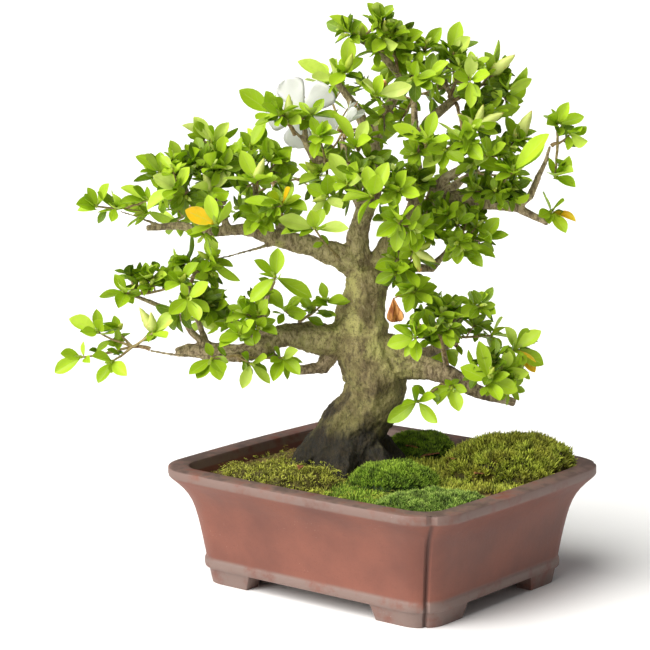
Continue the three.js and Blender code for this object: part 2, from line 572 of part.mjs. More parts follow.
      leaves: [[65, 23], [80, 22, 60], [165, 18, 50], [-170, 19, 75], [100, 19], [-115, 19, 75]],
    },
  ] },
  { name: 'heart_mid', from: [18, 6, 245], shoots: [
    { at: [8, -38, 257], leaves: [[70, 14], [-10, 13], [-110, 12], [-145, 14]], buds: [[110, 2]] },
    { at: [25, -18, 259], leaves: [[55, 9], [-125, 8], [140, 20, 60]] },
  ] },
  { name: 'heart_low', from: [11, 5, 222], shoots: [
    { at: [8, -50, 239], leaves: [[115, 9], [-150, 16], [-95, 15], [50, 14], [155, 13]] },
    { at: [21, -36, 232], leaves: [[40, 10], [-30, 9], [-100, 8]] },
  ] },
  { name: 'yellow_low', from: [13, 7, 202], shoots: [
    { at: [18, -36, 219], leaves: [[155, 14]], buds: [[-25, 15], [25, 11], [-75, 13], [115, 8]] },
    { at: [13, -26, 207], leaves: [[180, 19], [-55, 13]] },
    { at: [19, -18, 191], leaves: [[155, 14, 60], [175, 15, 75], [-30, 12], [45, 14]] },
  ] },
  { name: 'right_low', from: [39, -6, 213], shoots: [
    { at: [49, -16, 219], leaves: [[155, 20], [120, 13], [-45, 17], [-20, 22]] },
    { at: [60, -14, 223], leaves: [[10, 18], [50, 18], [70, 11]] },
    { at: [53, -8, 237], leaves: [[-10, 11], [135, 12], [50, 8]] },
    { at: [39, -22, 240], leaves: [[165, 10], [-135, 7]] },
  ] },
  { name: 'pad_left', from: [38, -13, 145], shoots: [
    { at: [19, -38, 165], leaves: [[-165, 18], [150, 16], [100, 12], [50, 11], [-85, 13]] },
    { at: [31, -26, 167], leaves: [[115, 17], [45, 18], [-25, 18]] },
    { at: [37, -12, 179], leaves: [[100, 12], [150, 12]] },
    { at: [57, -12, 181], leaves: [[120, 11], [50, 12], [-15, 13], [-150, 10]] },
  ] },
  { name: 'pad_right', from: [65, -12, 126], shoots: [
    { at: [83, -10, 153], leaves: [[115, 17], [35, 20], [-30, 21], [-50, 20]] },
    { at: [74, -24, 141], leaves: [[75, 15], [5, 16, 60]], buds: [[125, 15]] },
    { at: [65, -38, 138], leaves: [[155, 20], [105, 26], [-60, 11], [-20, 19]], buds: [[75, 10]] },
  ] },
  { name: 'pad_under', from: [40, -6, 133], shoots: [
    { at: [43, -22, 131], leaves: [[-75, 14], [-135, 14]] },
    { at: [21, -34, 124], leaves: [[-145, 23], [110, 12], [25, 12], [-45, 17, 50]] },
  ] },
  { name: 'cloud_top', from: [-122, 0, 189], shoots: [
    {
      at: [-109, -18, 211],
      leaves: [[80, 14], [-15, 16], [-30, 19, 75], [-35, 24, 75]],
      buds: [[140, 9], [25, 8]],
    },
    { at: [-122, -12, 208], leaves: [[135, 10, 50], [85, 15, 75], [180, 9]] },
  ] },
  { name: 'cloud_left', from: [-147, -16, 185], shoots: [
    { at: [-147, -16, 197], leaves: [[110, 6], [25, 14]], buds: [[180, 5]] },
    { at: [-126, -26, 197], leaves: [[-165, 9], [130, 11], [50, 11]], buds: [[65, 8]] },
    { at: [-161, -18, 190], leaves: [[110, 9], [-175, 16, 75], [-115, 8], [40, 8]] },
  ] },
  { name: 'cloud_mid', from: [-119, -2, 178], shoots: [
    { at: [-121, -34, 189], leaves: [[-145, 14], [-60, 14], [40, 8]] },
    { at: [-109, -14, 180], leaves: [[20, 13], [-20, 14], [-50, 12], [-10, 18, 75]] },
  ] },
  { name: 'low_tip', from: [-158, -22, 158], shoots: [
    { at: [-143, -30, 167], leaves: [[-5, 9], [40, 13]], buds: [[95, 14], [120, 17]] },
    { at: [-178, -24, 166], leaves: [[155, 20], [165, 9], [70, 11, 75]] },
    { at: [-167, -12, 165], leaves: [[130, 10, 60], [165, 8]], buds: [[55, 7]] },
    { at: [-189, -18, 149], leaves: [[-150, 20], [160, 13]] },
    { at: [-169, -26, 148], leaves: [[-125, 15], [155, 13], [-35, 12]] },
  ] },
  { name: 'low_under', from: [-90, -14, 149], shoots: [
    { at: [-107, -28, 150], leaves: [[-150, 16], [-130, 11], [-65, 13], [-40, 10]] },
    { at: [-83, -24, 146], leaves: [[-110, 15], [-45, 17], [30, 12]] },
  ] },
  { name: 'low_mid', from: [-76, -14, 168], shoots: [
    { at: [-89, -32, 166], leaves: [[135, 11], [50, 14], [-170, 10], [-155, 14]] },
    { at: [-78, -24, 177], leaves: [[140, 16], [30, 6]] },
  ] },
  { name: 'low_front', from: [-71, -20, 192], shoots: [
    { at: [-67, -44, 204], leaves: [[85, 18], [140, 17], [-135, 22], [-30, 26]] },
  ] },
  { name: 'low_inner', from: [-52, -2, 166], shoots: [
    { at: [-62, -14, 178], leaves: [[55, 9], [130, 13], [0, 14, 60]] },
    { at: [-44, -4, 176], leaves: [[175, 13, 60]], buds: [[90, 8]] },
    { at: [-36, -8, 183], leaves: [[135, 7], [15, 8], [170, 6]] },
  ] },
];

// Leaves, buds and shoots
// The outline runs from the root out along one side to the tip and back: [reach, side, lift]
const BLADE = [
  [0, 0, 0], [0.43, 0.44, BLADE_ARCH], [0.74, 0.42, BLADE_ARCH], [1, 0, 0],
  [0.74, -0.42, BLADE_ARCH], [0.43, -0.44, BLADE_ARCH],
];
const BLADE_FACES = [[0, 1, 5], [1, 2, 4], [1, 4, 5], [2, 3, 4]];
const PETAL = [
  [0, 0, 0], [0.35, 0.26, -0.05], [0.72, 0.5, -0.02], [0.94, 0.3, 0.08], [1, 0, 0.12],
  [0.94, -0.3, 0.08], [0.72, -0.5, -0.02], [0.35, -0.26, -0.05],
];
const PETAL_FACES = [[0, 1, 7], [1, 2, 6], [1, 6, 7], [2, 3, 5], [2, 5, 6], [3, 4, 5]];

// The upper and lower points of a blade whose midrib runs along, with its upper side towards face
function bladePoints(outline, root, along, face, length, width, spare) {
  const across = new THREE.Vector3().crossVectors(along, face);
  const rim = outline.map(([reach, side, lifted]) => root.clone()
    .addScaledVector(along, reach * (length + spare))
    .addScaledVector(across, side * (width + 2 * spare))
    .addScaledVector(face, lifted * width));
  const half = BLADE_THICKNESS / 2 + spare;
  return [
    ...rim.map((p) => p.clone().addScaledVector(face, half)),
    ...rim.map((p) => p.clone().addScaledVector(face, -half)),
  ];
}

// Both faces of a blade and its edge, from its first outline point or from a later one
function bladeTriangles(faces, n, first = 0) {
  const triangles = [];
  for (const [a, b, c] of faces.filter((face) => Math.min(...face) >= first)) {
    triangles.push([a, b, c], [a + n, c + n, b + n]);
  }
  for (let i = first; i < n - Math.min(first, 1); i += 1) {
    const j = (i + 1) % n;
    triangles.push([i, i + n, j + n], [i, j + n, j]);
  }
  return triangles;
}

function blade(root, along, face, length, width, options) {
  const { spare = 0, outline = BLADE, faces = BLADE_FACES } = options;
  const points = bladePoints(outline, root, along, face, length, width, spare);
  return solidOf(geometryOf(points, bladeTriangles(faces, outline.length)));
}

// A knob of eight faces round a centre, whose first face looks back along the twig
function knobAt(centre, back, roll, radius) {
  const corner = new THREE.Vector3(1, 1, 1).normalize();
  const turn = new THREE.Quaternion().setFromUnitVectors(corner, back);
  turn.premultiply(new THREE.Quaternion().setFromAxisAngle(back, roll));
  const axes = [[1, 0, 0], [0, 1, 0], [0, 0, 1]].map((axis) => vec(axis).applyQuaternion(turn));
  const points = axes.flatMap((axis) => (
    [1, -1].map((sign) => centre.clone().addScaledVector(axis, sign * radius))));
  const faces = [];
  for (const x of [0, 1]) {
    for (const y of [0, 1]) {
      for (const z of [0, 1]) {
        const [a, b, c] = [x, 2 + y, 4 + z];
        const normal = axes[0].clone().multiplyScalar(1 - 2 * x)
          .addScaledVector(axes[1], 1 - 2 * y)
          .addScaledVector(axes[2], 1 - 2 * z)
          .normalize();
        faces.push({ corners: (x + y + z) % 2 === 0 ? [a, b, c] : [a, c, b], normal });
      }
    }
  }
  return { points, faces };
}

// How well the free faces of a knob look the ways that twigs, leaves or buds leave it
function knobFit(knob, directions) {
  const free = knob.faces.slice(1);
  return directions.reduce((sum, along) => {
    free.sort((a, b) => b.normal.dot(along) - a.normal.dot(along));
    return sum + (free.length ? free.shift().normal.dot(along) : -1);
  }, 0);
}

function fittedKnob(centre, back, directions, radius) {
  const knobs = Array.from({ length: KNOB_TURNS }, (_, i) => {
    const roll = i / KNOB_TURNS * ROUND_TRIP / 3;
    return knobAt(centre, back, roll, radius);
  });
  const fit = (knob) => knobFit(knob, directions);
  return knobs.reduce((best, other) => (fit(other) > fit(best) ? other : best));
}

// The skin between a knob's face and the first section of what grows out of it
function sleeve(points, lower, upper) {
  let best = { total: Infinity };
  lower.forEach((_, low) => upper.forEach((__, high) => {
    const triangles = [];
    let total = 0;
    let i = 0;
    let j = 0;
    while (i < lower.length || j < upper.length) {
      const a = lower[(low + i) % lower.length];
      const b = upper[(high + j) % upper.length];
      total += points[a].distanceTo(points[b]);
      if ((i + 0.5) / lower.length < (j + 0.5) / upper.length) {
        i += 1;
        triangles.push([a, lower[(low + i) % lower.length], b]);
      } else {
        j += 1;
        triangles.push([a, upper[(high + j) % upper.length], b]);
      }
    }
    if (total < best.total) best = { total, triangles };
  }));
  return best.triangles;
}

// A leaf or a bud that grows out of one face of a knob: its new points and triangles, and the
// closed solid that it makes with that face
function outgrowth(knob, { corners }, growth) {
  const count = knob.points.length;
  const points = [...knob.points];
  const triangles = [];
  if (growth.kind === 'leaf') {
    const n = BLADE.length;
    const { root, along, face, length, width } = growth;
    points.push(...bladePoints(BLADE, root, along, face, length, width, 0));
    triangles.push(...sleeve(points, corners, [1, 1 + n, 2 * n - 1, n - 1].map((k) => k + count)));
    triangles.push(...bladeTriangles(BLADE_FACES, n, 1).map((t) => t.map((k) => k + count)));
  } else {
    const middle = growth.root.clone().addScaledVector(growth.along, growth.length / 2);
    corners.forEach((k) => {
      const side = knob.points[k].clone().sub(growth.root);
      side.addScaledVector(growth.along, -side.dot(growth.along)).setLength(growth.width);
      points.push(side.add(middle));
    });
    points.push(growth.root.clone().addScaledVector(growth.along, growth.length));
    const ring = [0, 1, 2].map((k) => count + k);
    triangles.push(...sleeve(points, corners, ring));
    ring.forEach((k, i) => triangles.push([k, ring[(i + 1) % 3], count + 3]));
  }
  const closed = [...triangles, [corners[0], corners[2], corners[1]]];
  const used = [...new Set(closed.flat())].sort((a, b) => a - b);
  const own = geometryOf(used.map((k) => points[k]), closed.map((t) => t.map((k) => used.indexOf(k))));
  return { added: points.slice(count), triangles, solid: solidOf(own) };
}

// A direction seen at an angle in the picture, of which only part of the length is seen
function reachOf(angle, seen, full, depthSign) {
  const turn = THREE.MathUtils.degToRad(angle);
  const depth = Math.sqrt(Math.max(full * full - seen * seen, 0)) * depthSign;
  return new THREE.Vector3(seen * Math.cos(turn), depth, seen * Math.sin(turn));
}

function faceOf(along, outward, roll) {
  const face = new THREE.Vector3(0, 0.75 * outward, 0.66);
  face.addScaledVector(along, -face.dot(along)).normalize();
  return face.applyAxisAngle(along, THREE.MathUtils.degToRad(roll));
}

// The back of the crown, which is grown by a rule: one spray on each branch that runs away
const BACK_SPRAYS = [
  { name: 'back_left_tip', from: [-122, 32, 236], hub: [-126, 40, 238], wide: 22, high: 15 },
  { name: 'back_left', from: [-70, 34, 248], hub: [-72, 44, 254], wide: 25, high: 20 },
  { name: 'back_crown', from: [-26, 36, 280], hub: [-26, 44, 290], wide: 26, high: 24 },
  { name: 'back_apex', from: [20, 38, 306], hub: [22, 44, 314], wide: 26, high: 22 },
  { name: 'back_right', from: [56, 36, 258], hub: [60, 46, 262], wide: 26, high: 22 },
  { name: 'back_low_left', from: [-100, 28, 170], hub: [-106, 36, 176], wide: 28, high: 16 },
  { name: 'back_pad', from: [48, 38, 148], hub: [54, 46, 152], wide: 24, high: 15 },
];
const BACK_SHOOTS = 3;
const BACK_LEAF_SEEN = 13;

function backShoots({ hub, wide, high }, seed) {
  const random = seeded(seed);
  return Array.from({ length: BACK_SHOOTS }, (_, i) => {
    const angle = i / BACK_SHOOTS * 360 + 30 * (random() - 0.5);
    const turn = THREE.MathUtils.degToRad(angle);
    const out = 0.75 + 0.35 * random();
    const at = [
      hub[0] + wide * out * Math.cos(turn),
      hub[1] + 16 * random() - 4,
      hub[2] + high * out * Math.sin(turn),
    ];
    return { at, leaves: [-75, -10, 60].map((step) => [angle + step, BACK_LEAF_SEEN]) };
  });
}

// The two white flowers: the branch that each springs from, where its calyx is, which way it
// looks, how wide it is open and its petals' size, with the first petal turned about the axis
const BLOOMS = [
  {
    name: 'bloom_open', from: [-50, -12, 294], calyx: [-51, -3, 299], axis: [0.05, 0.98, 0.15],
    spread: 76, turn: 28, petal: 24, width: 18,
  },
  {
    name: 'bloom_half', from: [-16, -2, 292], calyx: [-28, -19, 291], axis: [0.6, -0.2, 0.77],
    spread: 20, turn: 0, petal: 17, width: 5.6,
  },
];
const PETALS = 5;
const CALYX_LENGTH = 5;

function bloom({ from, calyx, axis, spread, turn, petal, width }, spare) {
  const ahead = vec(axis).normalize();
  const side = new THREE.Vector3().crossVectors(ahead, new THREE.Vector3(0, 0, 1)).normalize();
  const seat = vec(calyx);
  const throat = seat.clone().addScaledVector(ahead, CALYX_LENGTH);
  const start = onWood(vec(from));
  const knee = start.clone().lerp(seat, 0.5);
  const stalk = [withRadius(start, 1.1), withRadius(knee, 1), withRadius(seat, 1.1)];
  const cup = [withRadius(seat.clone().addScaledVector(ahead, -1), 1.5), withRadius(throat, 2.6)];
  const petals = Array.from({ length: PETALS }, (_, i) => {
    const around = THREE.MathUtils.degToRad(turn) + i / PETALS * ROUND_TRIP;
    const lean = THREE.MathUtils.degToRad(spread);
    const out = side.clone().applyAxisAngle(ahead, around);
    const along = ahead.clone().multiplyScalar(Math.cos(lean)).addScaledVector(out, Math.sin(lean));
    const face = ahead.clone().addScaledVector(along, -ahead.dot(along)).normalize();
    const root = throat.clone().addScaledVector(ahead, -1.5);
    return blade(root, along, face, petal, width, { spare, outline: PETAL, faces: PETAL_FACES });
  });
  return joined([
    solidOf(stem(stalk, { sides: 3, steps: 2, spare })),
    solidOf(stem(cup, { sides: 5, steps: 1, spare })),
    ...petals,
  ]);
}

const FORWARD = -1;
const LEAF_TRIES = [
  [0, 0], [0, 30], [0, -30], [16, 0], [-16, 0], [28, 20], [-28, -20], [42, 0], [55, 20], [-45, 0],
];

// Nearest point of the wood's middle lines to a place, where a spray springs from
function onWood(place) {
  const lines = [TRUNK, ...Object.values(LIMBS)];
  const places = lines.flatMap((points) => curveOf(points).getPoints(points.length * 4));
  return places.reduce((best, p) => (p.distanceTo(place) < best.distanceTo(place) ? p : best)).clone();
}

const placed = [];

const apart = (a, b) => [0, 1, 2].some((k) => a.min[k] > b.max[k] || b.min[k] > a.max[k]);

// Whether a solid with room round it misses every other node, and its bare form the leaves and
// knobs of its own node
function clear(room, owner, bare) {
  const roomBox = room.boundingBox();
  const bareBox = bare && bare.boundingBox();
  return placed.every(({ node, kind, solid, box }) => {
    if (node !== owner) return apart(roomBox, box) || room.intersect(solid).isEmpty();
    return !bare || kind === 'twig' || apart(bareBox, box) || bare.intersect(solid).volume() < TOUCH;
  });
}

function keep(solid, node, kind) {
  placed.push({ node, kind, solid, box: solid.boundingBox() });
  return solid;
}

const withRadius = (p, radius) => [...p.toArray(), radius];

function knobSolid({ points, faces }) {
  return solidOf(geometryOf(points, faces.map(({ corners }) => corners)));
}

// The twigs of a spray: one stem from the wood to a fork, then a twig to each shoot
function twigsOf({ name, from, shoots }, index) {
  const start = onWood(vec(from));
  const ends = shoots.map(({ at }) => vec(at));
  const middle = ends.reduce((sum, p) => sum.add(p), new THREE.Vector3()).divideScalar(ends.length);
  const random = seeded(900 + index);
  for (let attempt = 0; attempt < FORK_TRIES; attempt += 1) {
    const sway = new THREE.Vector3(random() - 0.5, random() - 0.5, random() - 0.2);
    sway.multiplyScalar(FORK_SWAY + attempt);
    const fork = start.clone().lerp(middle, mix(0.45, 0.85, (attempt % 5) / 4)).add(sway);
    const bend = start.clone().lerp(fork, 0.5).add(sway.clone().multiplyScalar(0.4));
    const knees = ends.map((end) => {
      const reach = fork.distanceTo(end);
      const middleOfTwig = fork.clone().lerp(end, 0.5);
      if (reach > LONG_TWIG) middleOfTwig.z -= TWIG_SAG * reach;
      return middleOfTwig;
    });
    if (ends.length === 1) {
      const path = [
        withRadius(start, TWIG.start), withRadius(fork, TWIG.only), withRadius(ends[0], TWIG.end),
      ];
      const single = (spare) => solidOf(stem(path, { sides: 3, steps: 2, spare }));
      if (attempt + 1 < FORK_TRIES && !clear(single(LEAF_CLEARANCE), name)) continue;
      keep(single(LEAF_CLEARANCE), name, 'twig');
      return { solids: [single(0)], backs: [fork.clone().sub(ends[0]).normalize()] };
    }
    const build = (spare) => {
      const trunk = [
        withRadius(start, TWIG.start), withRadius(bend, TWIG.bend), withRadius(fork, TWIG.fork),
      ];
      const twigs = ends.map((end, i) => {
        const path = [
          withRadius(fork, TWIG.fork), withRadius(knees[i], TWIG.knee), withRadius(end, TWIG.end),
        ];
        const steps = fork.distanceTo(end) > LONG_TWIG ? 2 : 1;
        return solidOf(stem(path, { sides: 3, steps, spare }));
      });
      return [solidOf(stem(trunk, { sides: 3, steps: 1, spare })), ...twigs];
    };
    const ways = knees.map((knee) => knee.clone().sub(fork).normalize());
    const hub = knobSolid(fittedKnob(fork, bend.clone().sub(fork).normalize(), ways, FORK_RADIUS));
    const [stemSolid, ...twigs] = build(LEAF_CLEARANCE);
    const outOfWood = [hub, ...twigs].every((solid) => solid.intersect(woodRoom).isEmpty());
    const last = attempt === FORK_TRIES - 1;
    if (last || (outOfWood && [stemSolid, hub, ...twigs].every((solid) => clear(solid, name)))) {
      [stemSolid, hub, ...twigs].forEach((twig) => keep(twig, name, 'twig'));
      const backs = ends.map((end, i) => knees[i].clone().sub(end).normalize());
      return { solids: [...build(0), hub], backs };
    }
  }
  return null;
}

// One leaf or bud as it would grow, turned in depth by a swing and about its midrib by a twist
function growthOf(wish, swing, twist) {
  const { kind, root, angle, seen, full, lean, outward } = wish;
  const turn = THREE.MathUtils.degToRad(angle);
  const hinge = new THREE.Vector3(-Math.sin(turn), 0, Math.cos(turn));
  const along = reachOf(angle, seen, full, outward);
  along.applyAxisAngle(hinge, THREE.MathUtils.degToRad(swing));
  const length = along.length();
  along.normalize();
  if (kind === 'bud') {
    return { kind, root, along, length, width: Math.max(BUD_RADIUS * length, SMALLEST_BUD) };
  }
  const face = faceOf(along, outward, lean + twist);
  return { kind, root, along, length, width: LEAF_WIDTH * length, face };
}

function wishesOf({ at, leaves, buds = [] }, index, shoot) {
  const root = vec(at);
  const outward = at[1] > 6 ? 1 : FORWARD;
  const budWishes = buds.map(([angle, seen]) => (
    { kind: 'bud', root, angle, seen, full: Math.max(seen, 9) + 1, lean: 0, outward }));
  const count = shoot < LEAFY_SHOOTS ? LEAVES_PER_SHOOT : LEAVES_PER_SHOOT - 1;
  const leafWishes = leaves.slice(0, count).map(([angle, seen, roll = 0], leaf) => {
    const random = seeded(index * 101 + shoot * 13 + leaf + 1);
    const full = Math.max(seen, LEAF_LENGTH * (0.94 + 0.16 * random()));
    return { kind: 'leaf', root, angle, seen, full, lean: roll + 44 * (random() - 0.5), outward };
  });
  return [...budWishes, ...leafWishes];
}

// A whorl: a knob on the end of a twig, with its leaves and buds grown out of the knob's faces
function whorl(name, back, wishes) {
  const { root } = wishes[0];
  const knob = fittedKnob(root, back, wishes.map((wish) => growthOf(wish, 0, 0).along), KNOB_RADIUS);
  const [backFace, ...free] = knob.faces;
  const points = [...knob.points];
  const triangles = [backFace.corners];
  keep(knobSolid(knob), name, 'knob');
  for (const wish of wishes) {
    const tries = LEAF_TRIES.map(([swing, twist]) => growthOf(wish, swing, twist));
    const found = tries.flatMap((growth) => {
      const faces = free.filter(({ normal }) => normal.dot(growth.along) > LOOKS_ALONG);
      faces.sort((a, b) => b.normal.dot(growth.along) - a.normal.dot(growth.along));
      return faces.slice(0, 2).map((face) => ({ growth, face }));
    }).find(({ growth, face }) => {
      const { solid } = outgrowth(knob, face, growth);
      const { along, length, width } = growth;
      const spare = LEAF_CLEARANCE;
      const room = growth.kind === 'bud' ? solid : blade(root, along, growth.face, length, width, { spare });
      return solid.volume() > 0 && clear(room, name, solid) && clear(solid, name);
    });
    if (!found) continue;
    const { added, triangles: skin, solid } = outgrowth(knob, found.face, found.growth);
    const shift = points.length - knob.points.length;
    points.push(...added);
    triangles.push(...skin.map((t) => t.map((k) => (k < knob.points.length ? k : k + shift))));
    free.splice(free.indexOf(found.face), 1);
    keep(solid, name, 'leaf');
  }
  free.forEach(({ corners }) => triangles.push(corners));
  return solidOf(geometryOf(points, triangles));
}

const sprays = [
  ...SPRAYS,
  ...BACK_SPRAYS.map((spray, i) => ({ ...spray, shoots: backShoots(spray, 700 + i) })),
];

const wood = woodSolid(0);
const woodRoom = woodSolid(GAP);
const bloomMeshes = BLOOMS.map((flower) => {
  keep(bloom(flower, LEAF_CLEARANCE), flower.name, 'petal');
  const body = mainBody(bloom(flower, 0).subtract(woodRoom));
  return meshOf(body, flower.name, 'petal');
});
const twigs = sprays.map((spray, index) => twigsOf(spray, index));
keep(woodRoom, 'wood', 'wood');
const sprayMeshes = sprays.map((spray, index) => {
  const { solids, backs } = twigs[index];
  const whorls = spray.shoots.map((shoot, i) => whorl(spray.name, backs[i], wishesOf(shoot, index, i)));
  const whole = joined([...solids, ...whorls]).subtract(woodRoom);
  return meshOf(mainBody(whole), `spray_${spray.name}`, 'leaf');
});

// The finished object
const bonsai = new THREE.Group();
const woodInPot = woodSolid(SOIL_GAP, treeTurn);
const soilWhole = solidOf(soil());
const screens = [-DRAIN_OFFSET, DRAIN_OFFSET];
const pockets = screens.map((x) => solidOf(screenBlock(x, GAP)));
bonsai.add(meshOf(pot(), 'pot', 'clay'));
screens.forEach((x, i) => bonsai.add(meshOf(drainScreen(x), `drain_screen_${'ab'[i]}`, 'screen')));
bonsai.add(meshOf(mainBody(soilWhole.subtract(joined(pockets)).subtract(woodInPot)), 'soil', 'soil'));

const mouth = solidOf(prism(insideOutline(SOIL_TOP, GAP + 0.2), SOIL_TOP - 1, 2 * POT_HEIGHT));
const soilRoom = solidOf(soil(GAP));
MOSS.forEach((patch) => {
  const dome = solidOf(mossDome(patch)).intersect(mouth).subtract(soilRoom).subtract(woodInPot);
  bonsai.add(meshOf(mainBody(dome), patch.name, 'moss'));
});

const tree = new THREE.Group();
tree.rotation.z = VIEW_TURN;
tree.add(meshOf(mainBody(wood), 'trunk_and_branches', 'bark'));
sprayMeshes.forEach((mesh) => tree.add(mesh));
bloomMeshes.forEach((mesh) => tree.add(mesh));
bonsai.add(tree);

// The whole object is centred over the origin, so the pot stands a little to one side of it
bonsai.updateMatrixWorld(true);
const middle = new THREE.Box3().setFromObject(bonsai, true).getCenter(new THREE.Vector3());
bonsai.position.set(-middle.x, -middle.y, 0);

export default bonsai;
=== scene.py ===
# %% [markdown]
# # A satsuki azalea bonsai in its stoneware pot
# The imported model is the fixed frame: it says how large every piece is and where it stands. This
# script gives each piece its finished surface. Units are metres, and the small sizes of the tree
# are written in millimetres and turned into metres where the points are made.

# %% Load the frame
import math

import bmesh
import bpy
import numpy as np
from mathutils import Matrix, Quaternion, Vector
from mathutils.bvhtree import BVHTree
from mathutils.kdtree import KDTree


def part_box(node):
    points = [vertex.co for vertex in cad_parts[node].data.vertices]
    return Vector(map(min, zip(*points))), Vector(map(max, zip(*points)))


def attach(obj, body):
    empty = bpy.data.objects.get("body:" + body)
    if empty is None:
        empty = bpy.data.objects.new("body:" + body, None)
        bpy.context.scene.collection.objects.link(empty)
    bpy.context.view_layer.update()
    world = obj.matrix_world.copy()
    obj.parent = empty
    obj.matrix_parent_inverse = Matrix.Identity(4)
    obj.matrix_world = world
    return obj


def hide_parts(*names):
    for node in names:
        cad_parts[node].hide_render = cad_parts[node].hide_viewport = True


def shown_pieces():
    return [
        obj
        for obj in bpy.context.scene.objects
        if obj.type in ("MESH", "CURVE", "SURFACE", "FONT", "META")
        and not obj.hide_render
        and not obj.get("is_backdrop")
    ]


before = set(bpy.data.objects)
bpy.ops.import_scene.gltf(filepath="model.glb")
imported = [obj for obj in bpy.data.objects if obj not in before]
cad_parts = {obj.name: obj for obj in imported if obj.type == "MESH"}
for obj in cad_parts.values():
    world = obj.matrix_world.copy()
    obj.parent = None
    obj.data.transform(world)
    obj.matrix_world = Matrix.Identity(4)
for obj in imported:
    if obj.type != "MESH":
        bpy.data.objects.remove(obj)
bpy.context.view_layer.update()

MM = 0.001
pot_low, pot_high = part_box("pot")
pot_middle = (pot_low + pot_high) / 2
pot_middle.z = 0

# %% [markdown]
# ## The camera
# The photograph was taken with a long lens from a little above the rim, on the corner of the pot.
# The pot's rim and feet gave the place of the camera: how far round it stands, how high, and how far
# away. A long lens keeps the sides of the pot nearly parallel.

# %% Camera
VIEW_AZIMUTH = math.radians(38.44)
VIEW_HEIGHT = math.radians(9.96)
VIEW_DISTANCE = 1548.5
VIEW_SIDE = -36.7
VIEW_LIFT = 163.8
PICTURE = 650
FOCAL_PIXELS = 2402
SENSOR = 36

back = Vector((math.sin(VIEW_AZIMUTH) * math.cos(VIEW_HEIGHT),
               -math.cos(VIEW_AZIMUTH) * math.cos(VIEW_HEIGHT), math.sin(VIEW_HEIGHT)))
right = Vector((math.cos(VIEW_AZIMUTH), math.sin(VIEW_AZIMUTH), 0))
above = back.cross(right)
lens = bpy.data.cameras.new("camera")
lens.sensor_width = SENSOR
lens.lens = SENSOR * FOCAL_PIXELS / PICTURE
lens.clip_start = 0.1
camera = bpy.data.objects.new("camera", lens)
eye = (back * VIEW_DISTANCE + right * VIEW_SIDE + above * VIEW_LIFT) * MM + pot_middle
turn = Matrix((right, above, back)).transposed().to_4x4()
camera.matrix_world = Matrix.Translation(eye) @ turn
bpy.context.scene.collection.objects.link(camera)
bpy.context.scene.camera = camera
print("lens", round(lens.lens, 1), "mm, eye at", [round(v, 3) for v in eye])

# %% [markdown]
# ## Writing nodes as sums
# Most of the finishes below are sums and products of patterns. A small class wraps a node's output,
# so that `a * b + 1` adds the Math nodes by itself, and one method makes every other kind of node.
# The same two helpers write the Geometry Nodes trees.

# %% Node helpers
class Field:
    """One output of a node, with arithmetic that adds Math nodes."""

    def __init__(self, recipe, socket):
        self.recipe = recipe
        self.socket = socket

    def math(self, operation, *others, clamp=False):
        settings = {"operation": operation, "use_clamp": clamp}
        values = dict(enumerate((self, *others)))
        return self.recipe.node("ShaderNodeMath", values, **settings)

    def __add__(self, other):
        return self.math("ADD", other)

    def __sub__(self, other):
        return self.math("SUBTRACT", other)

    def __rsub__(self, other):
        return self.recipe.number(other).math("SUBTRACT", self)

    def __mul__(self, other):
        return self.math("MULTIPLY", other)

    def __truediv__(self, other):
        return self.math("DIVIDE", other)

    def sin(self):
        return self.math("SINE")

    def size(self):
        return self.math("ABSOLUTE")

    def clamp(self):
        return self.math("ADD", 0, clamp=True)


class Recipe:
    """A node tree that is being written."""

    def __init__(self, tree):
        self.tree = tree

    def feed(self, slot, value):
        if isinstance(value, Field):
            self.tree.links.new(value.socket, slot)
        else:
            slot.default_value = value

    def node(self, kind, values=None, out=0, **settings):
        made = self.tree.nodes.new(kind)
        for name, value in settings.items():
            setattr(made, name, value)
        for name, value in (values or {}).items():
            self.feed(made.inputs[name], value)
        self.last = made
        return Field(self, made.outputs[out])

    def number(self, value):
        held = self.node("ShaderNodeValue")
        held.socket.default_value = value
        return held

    def mix(self, factor, first, second):
        return self.node("ShaderNodeMix", {0: factor, 6: first, 7: second}, out=2, data_type="RGBA")

    def band(self, value, low, high):
        """0 below low, 1 above high, with a soft step between."""
        values = {"Value": value, "From Min": low, "From Max": high}
        return self.node("ShaderNodeMapRange", values, interpolation_type="SMOOTHSTEP")

    def noise(self, place, scale, detail=3, roughness=0.5, distortion=0):
        values = {"Vector": place, "Scale": scale, "Detail": detail, "Roughness": roughness,
                  "Distortion": distortion}
        return self.node("ShaderNodeTexNoise", values, normalize=True)

    def cells(self, place, scale):
        return self.node("ShaderNodeTexVoronoi", {"Vector": place, "Scale": scale}, out="Distance")

    def stretch(self, place, factors):
        return self.node("ShaderNodeVectorMath", {0: place, 1: factors}, operation="MULTIPLY")

    def distance(self, place, other):
        return self.node("ShaderNodeVectorMath", {0: place, 1: other}, out=1, operation="DISTANCE")

    def split(self, place):
        """The three numbers of a place or a direction."""
        self.node("ShaderNodeSeparateXYZ", {0: place})
        return [Field(self, socket) for socket in self.last.outputs]


def paint(red, green, blue):
    """A colour given as it looks on a screen, in the linear numbers that shaders use."""
    linear = [(c / 255 / 12.92) if c <= 10 else ((c / 255 + 0.055) / 1.055) ** 2.4
              for c in (red, green, blue)]
    return (*linear, 1.0)


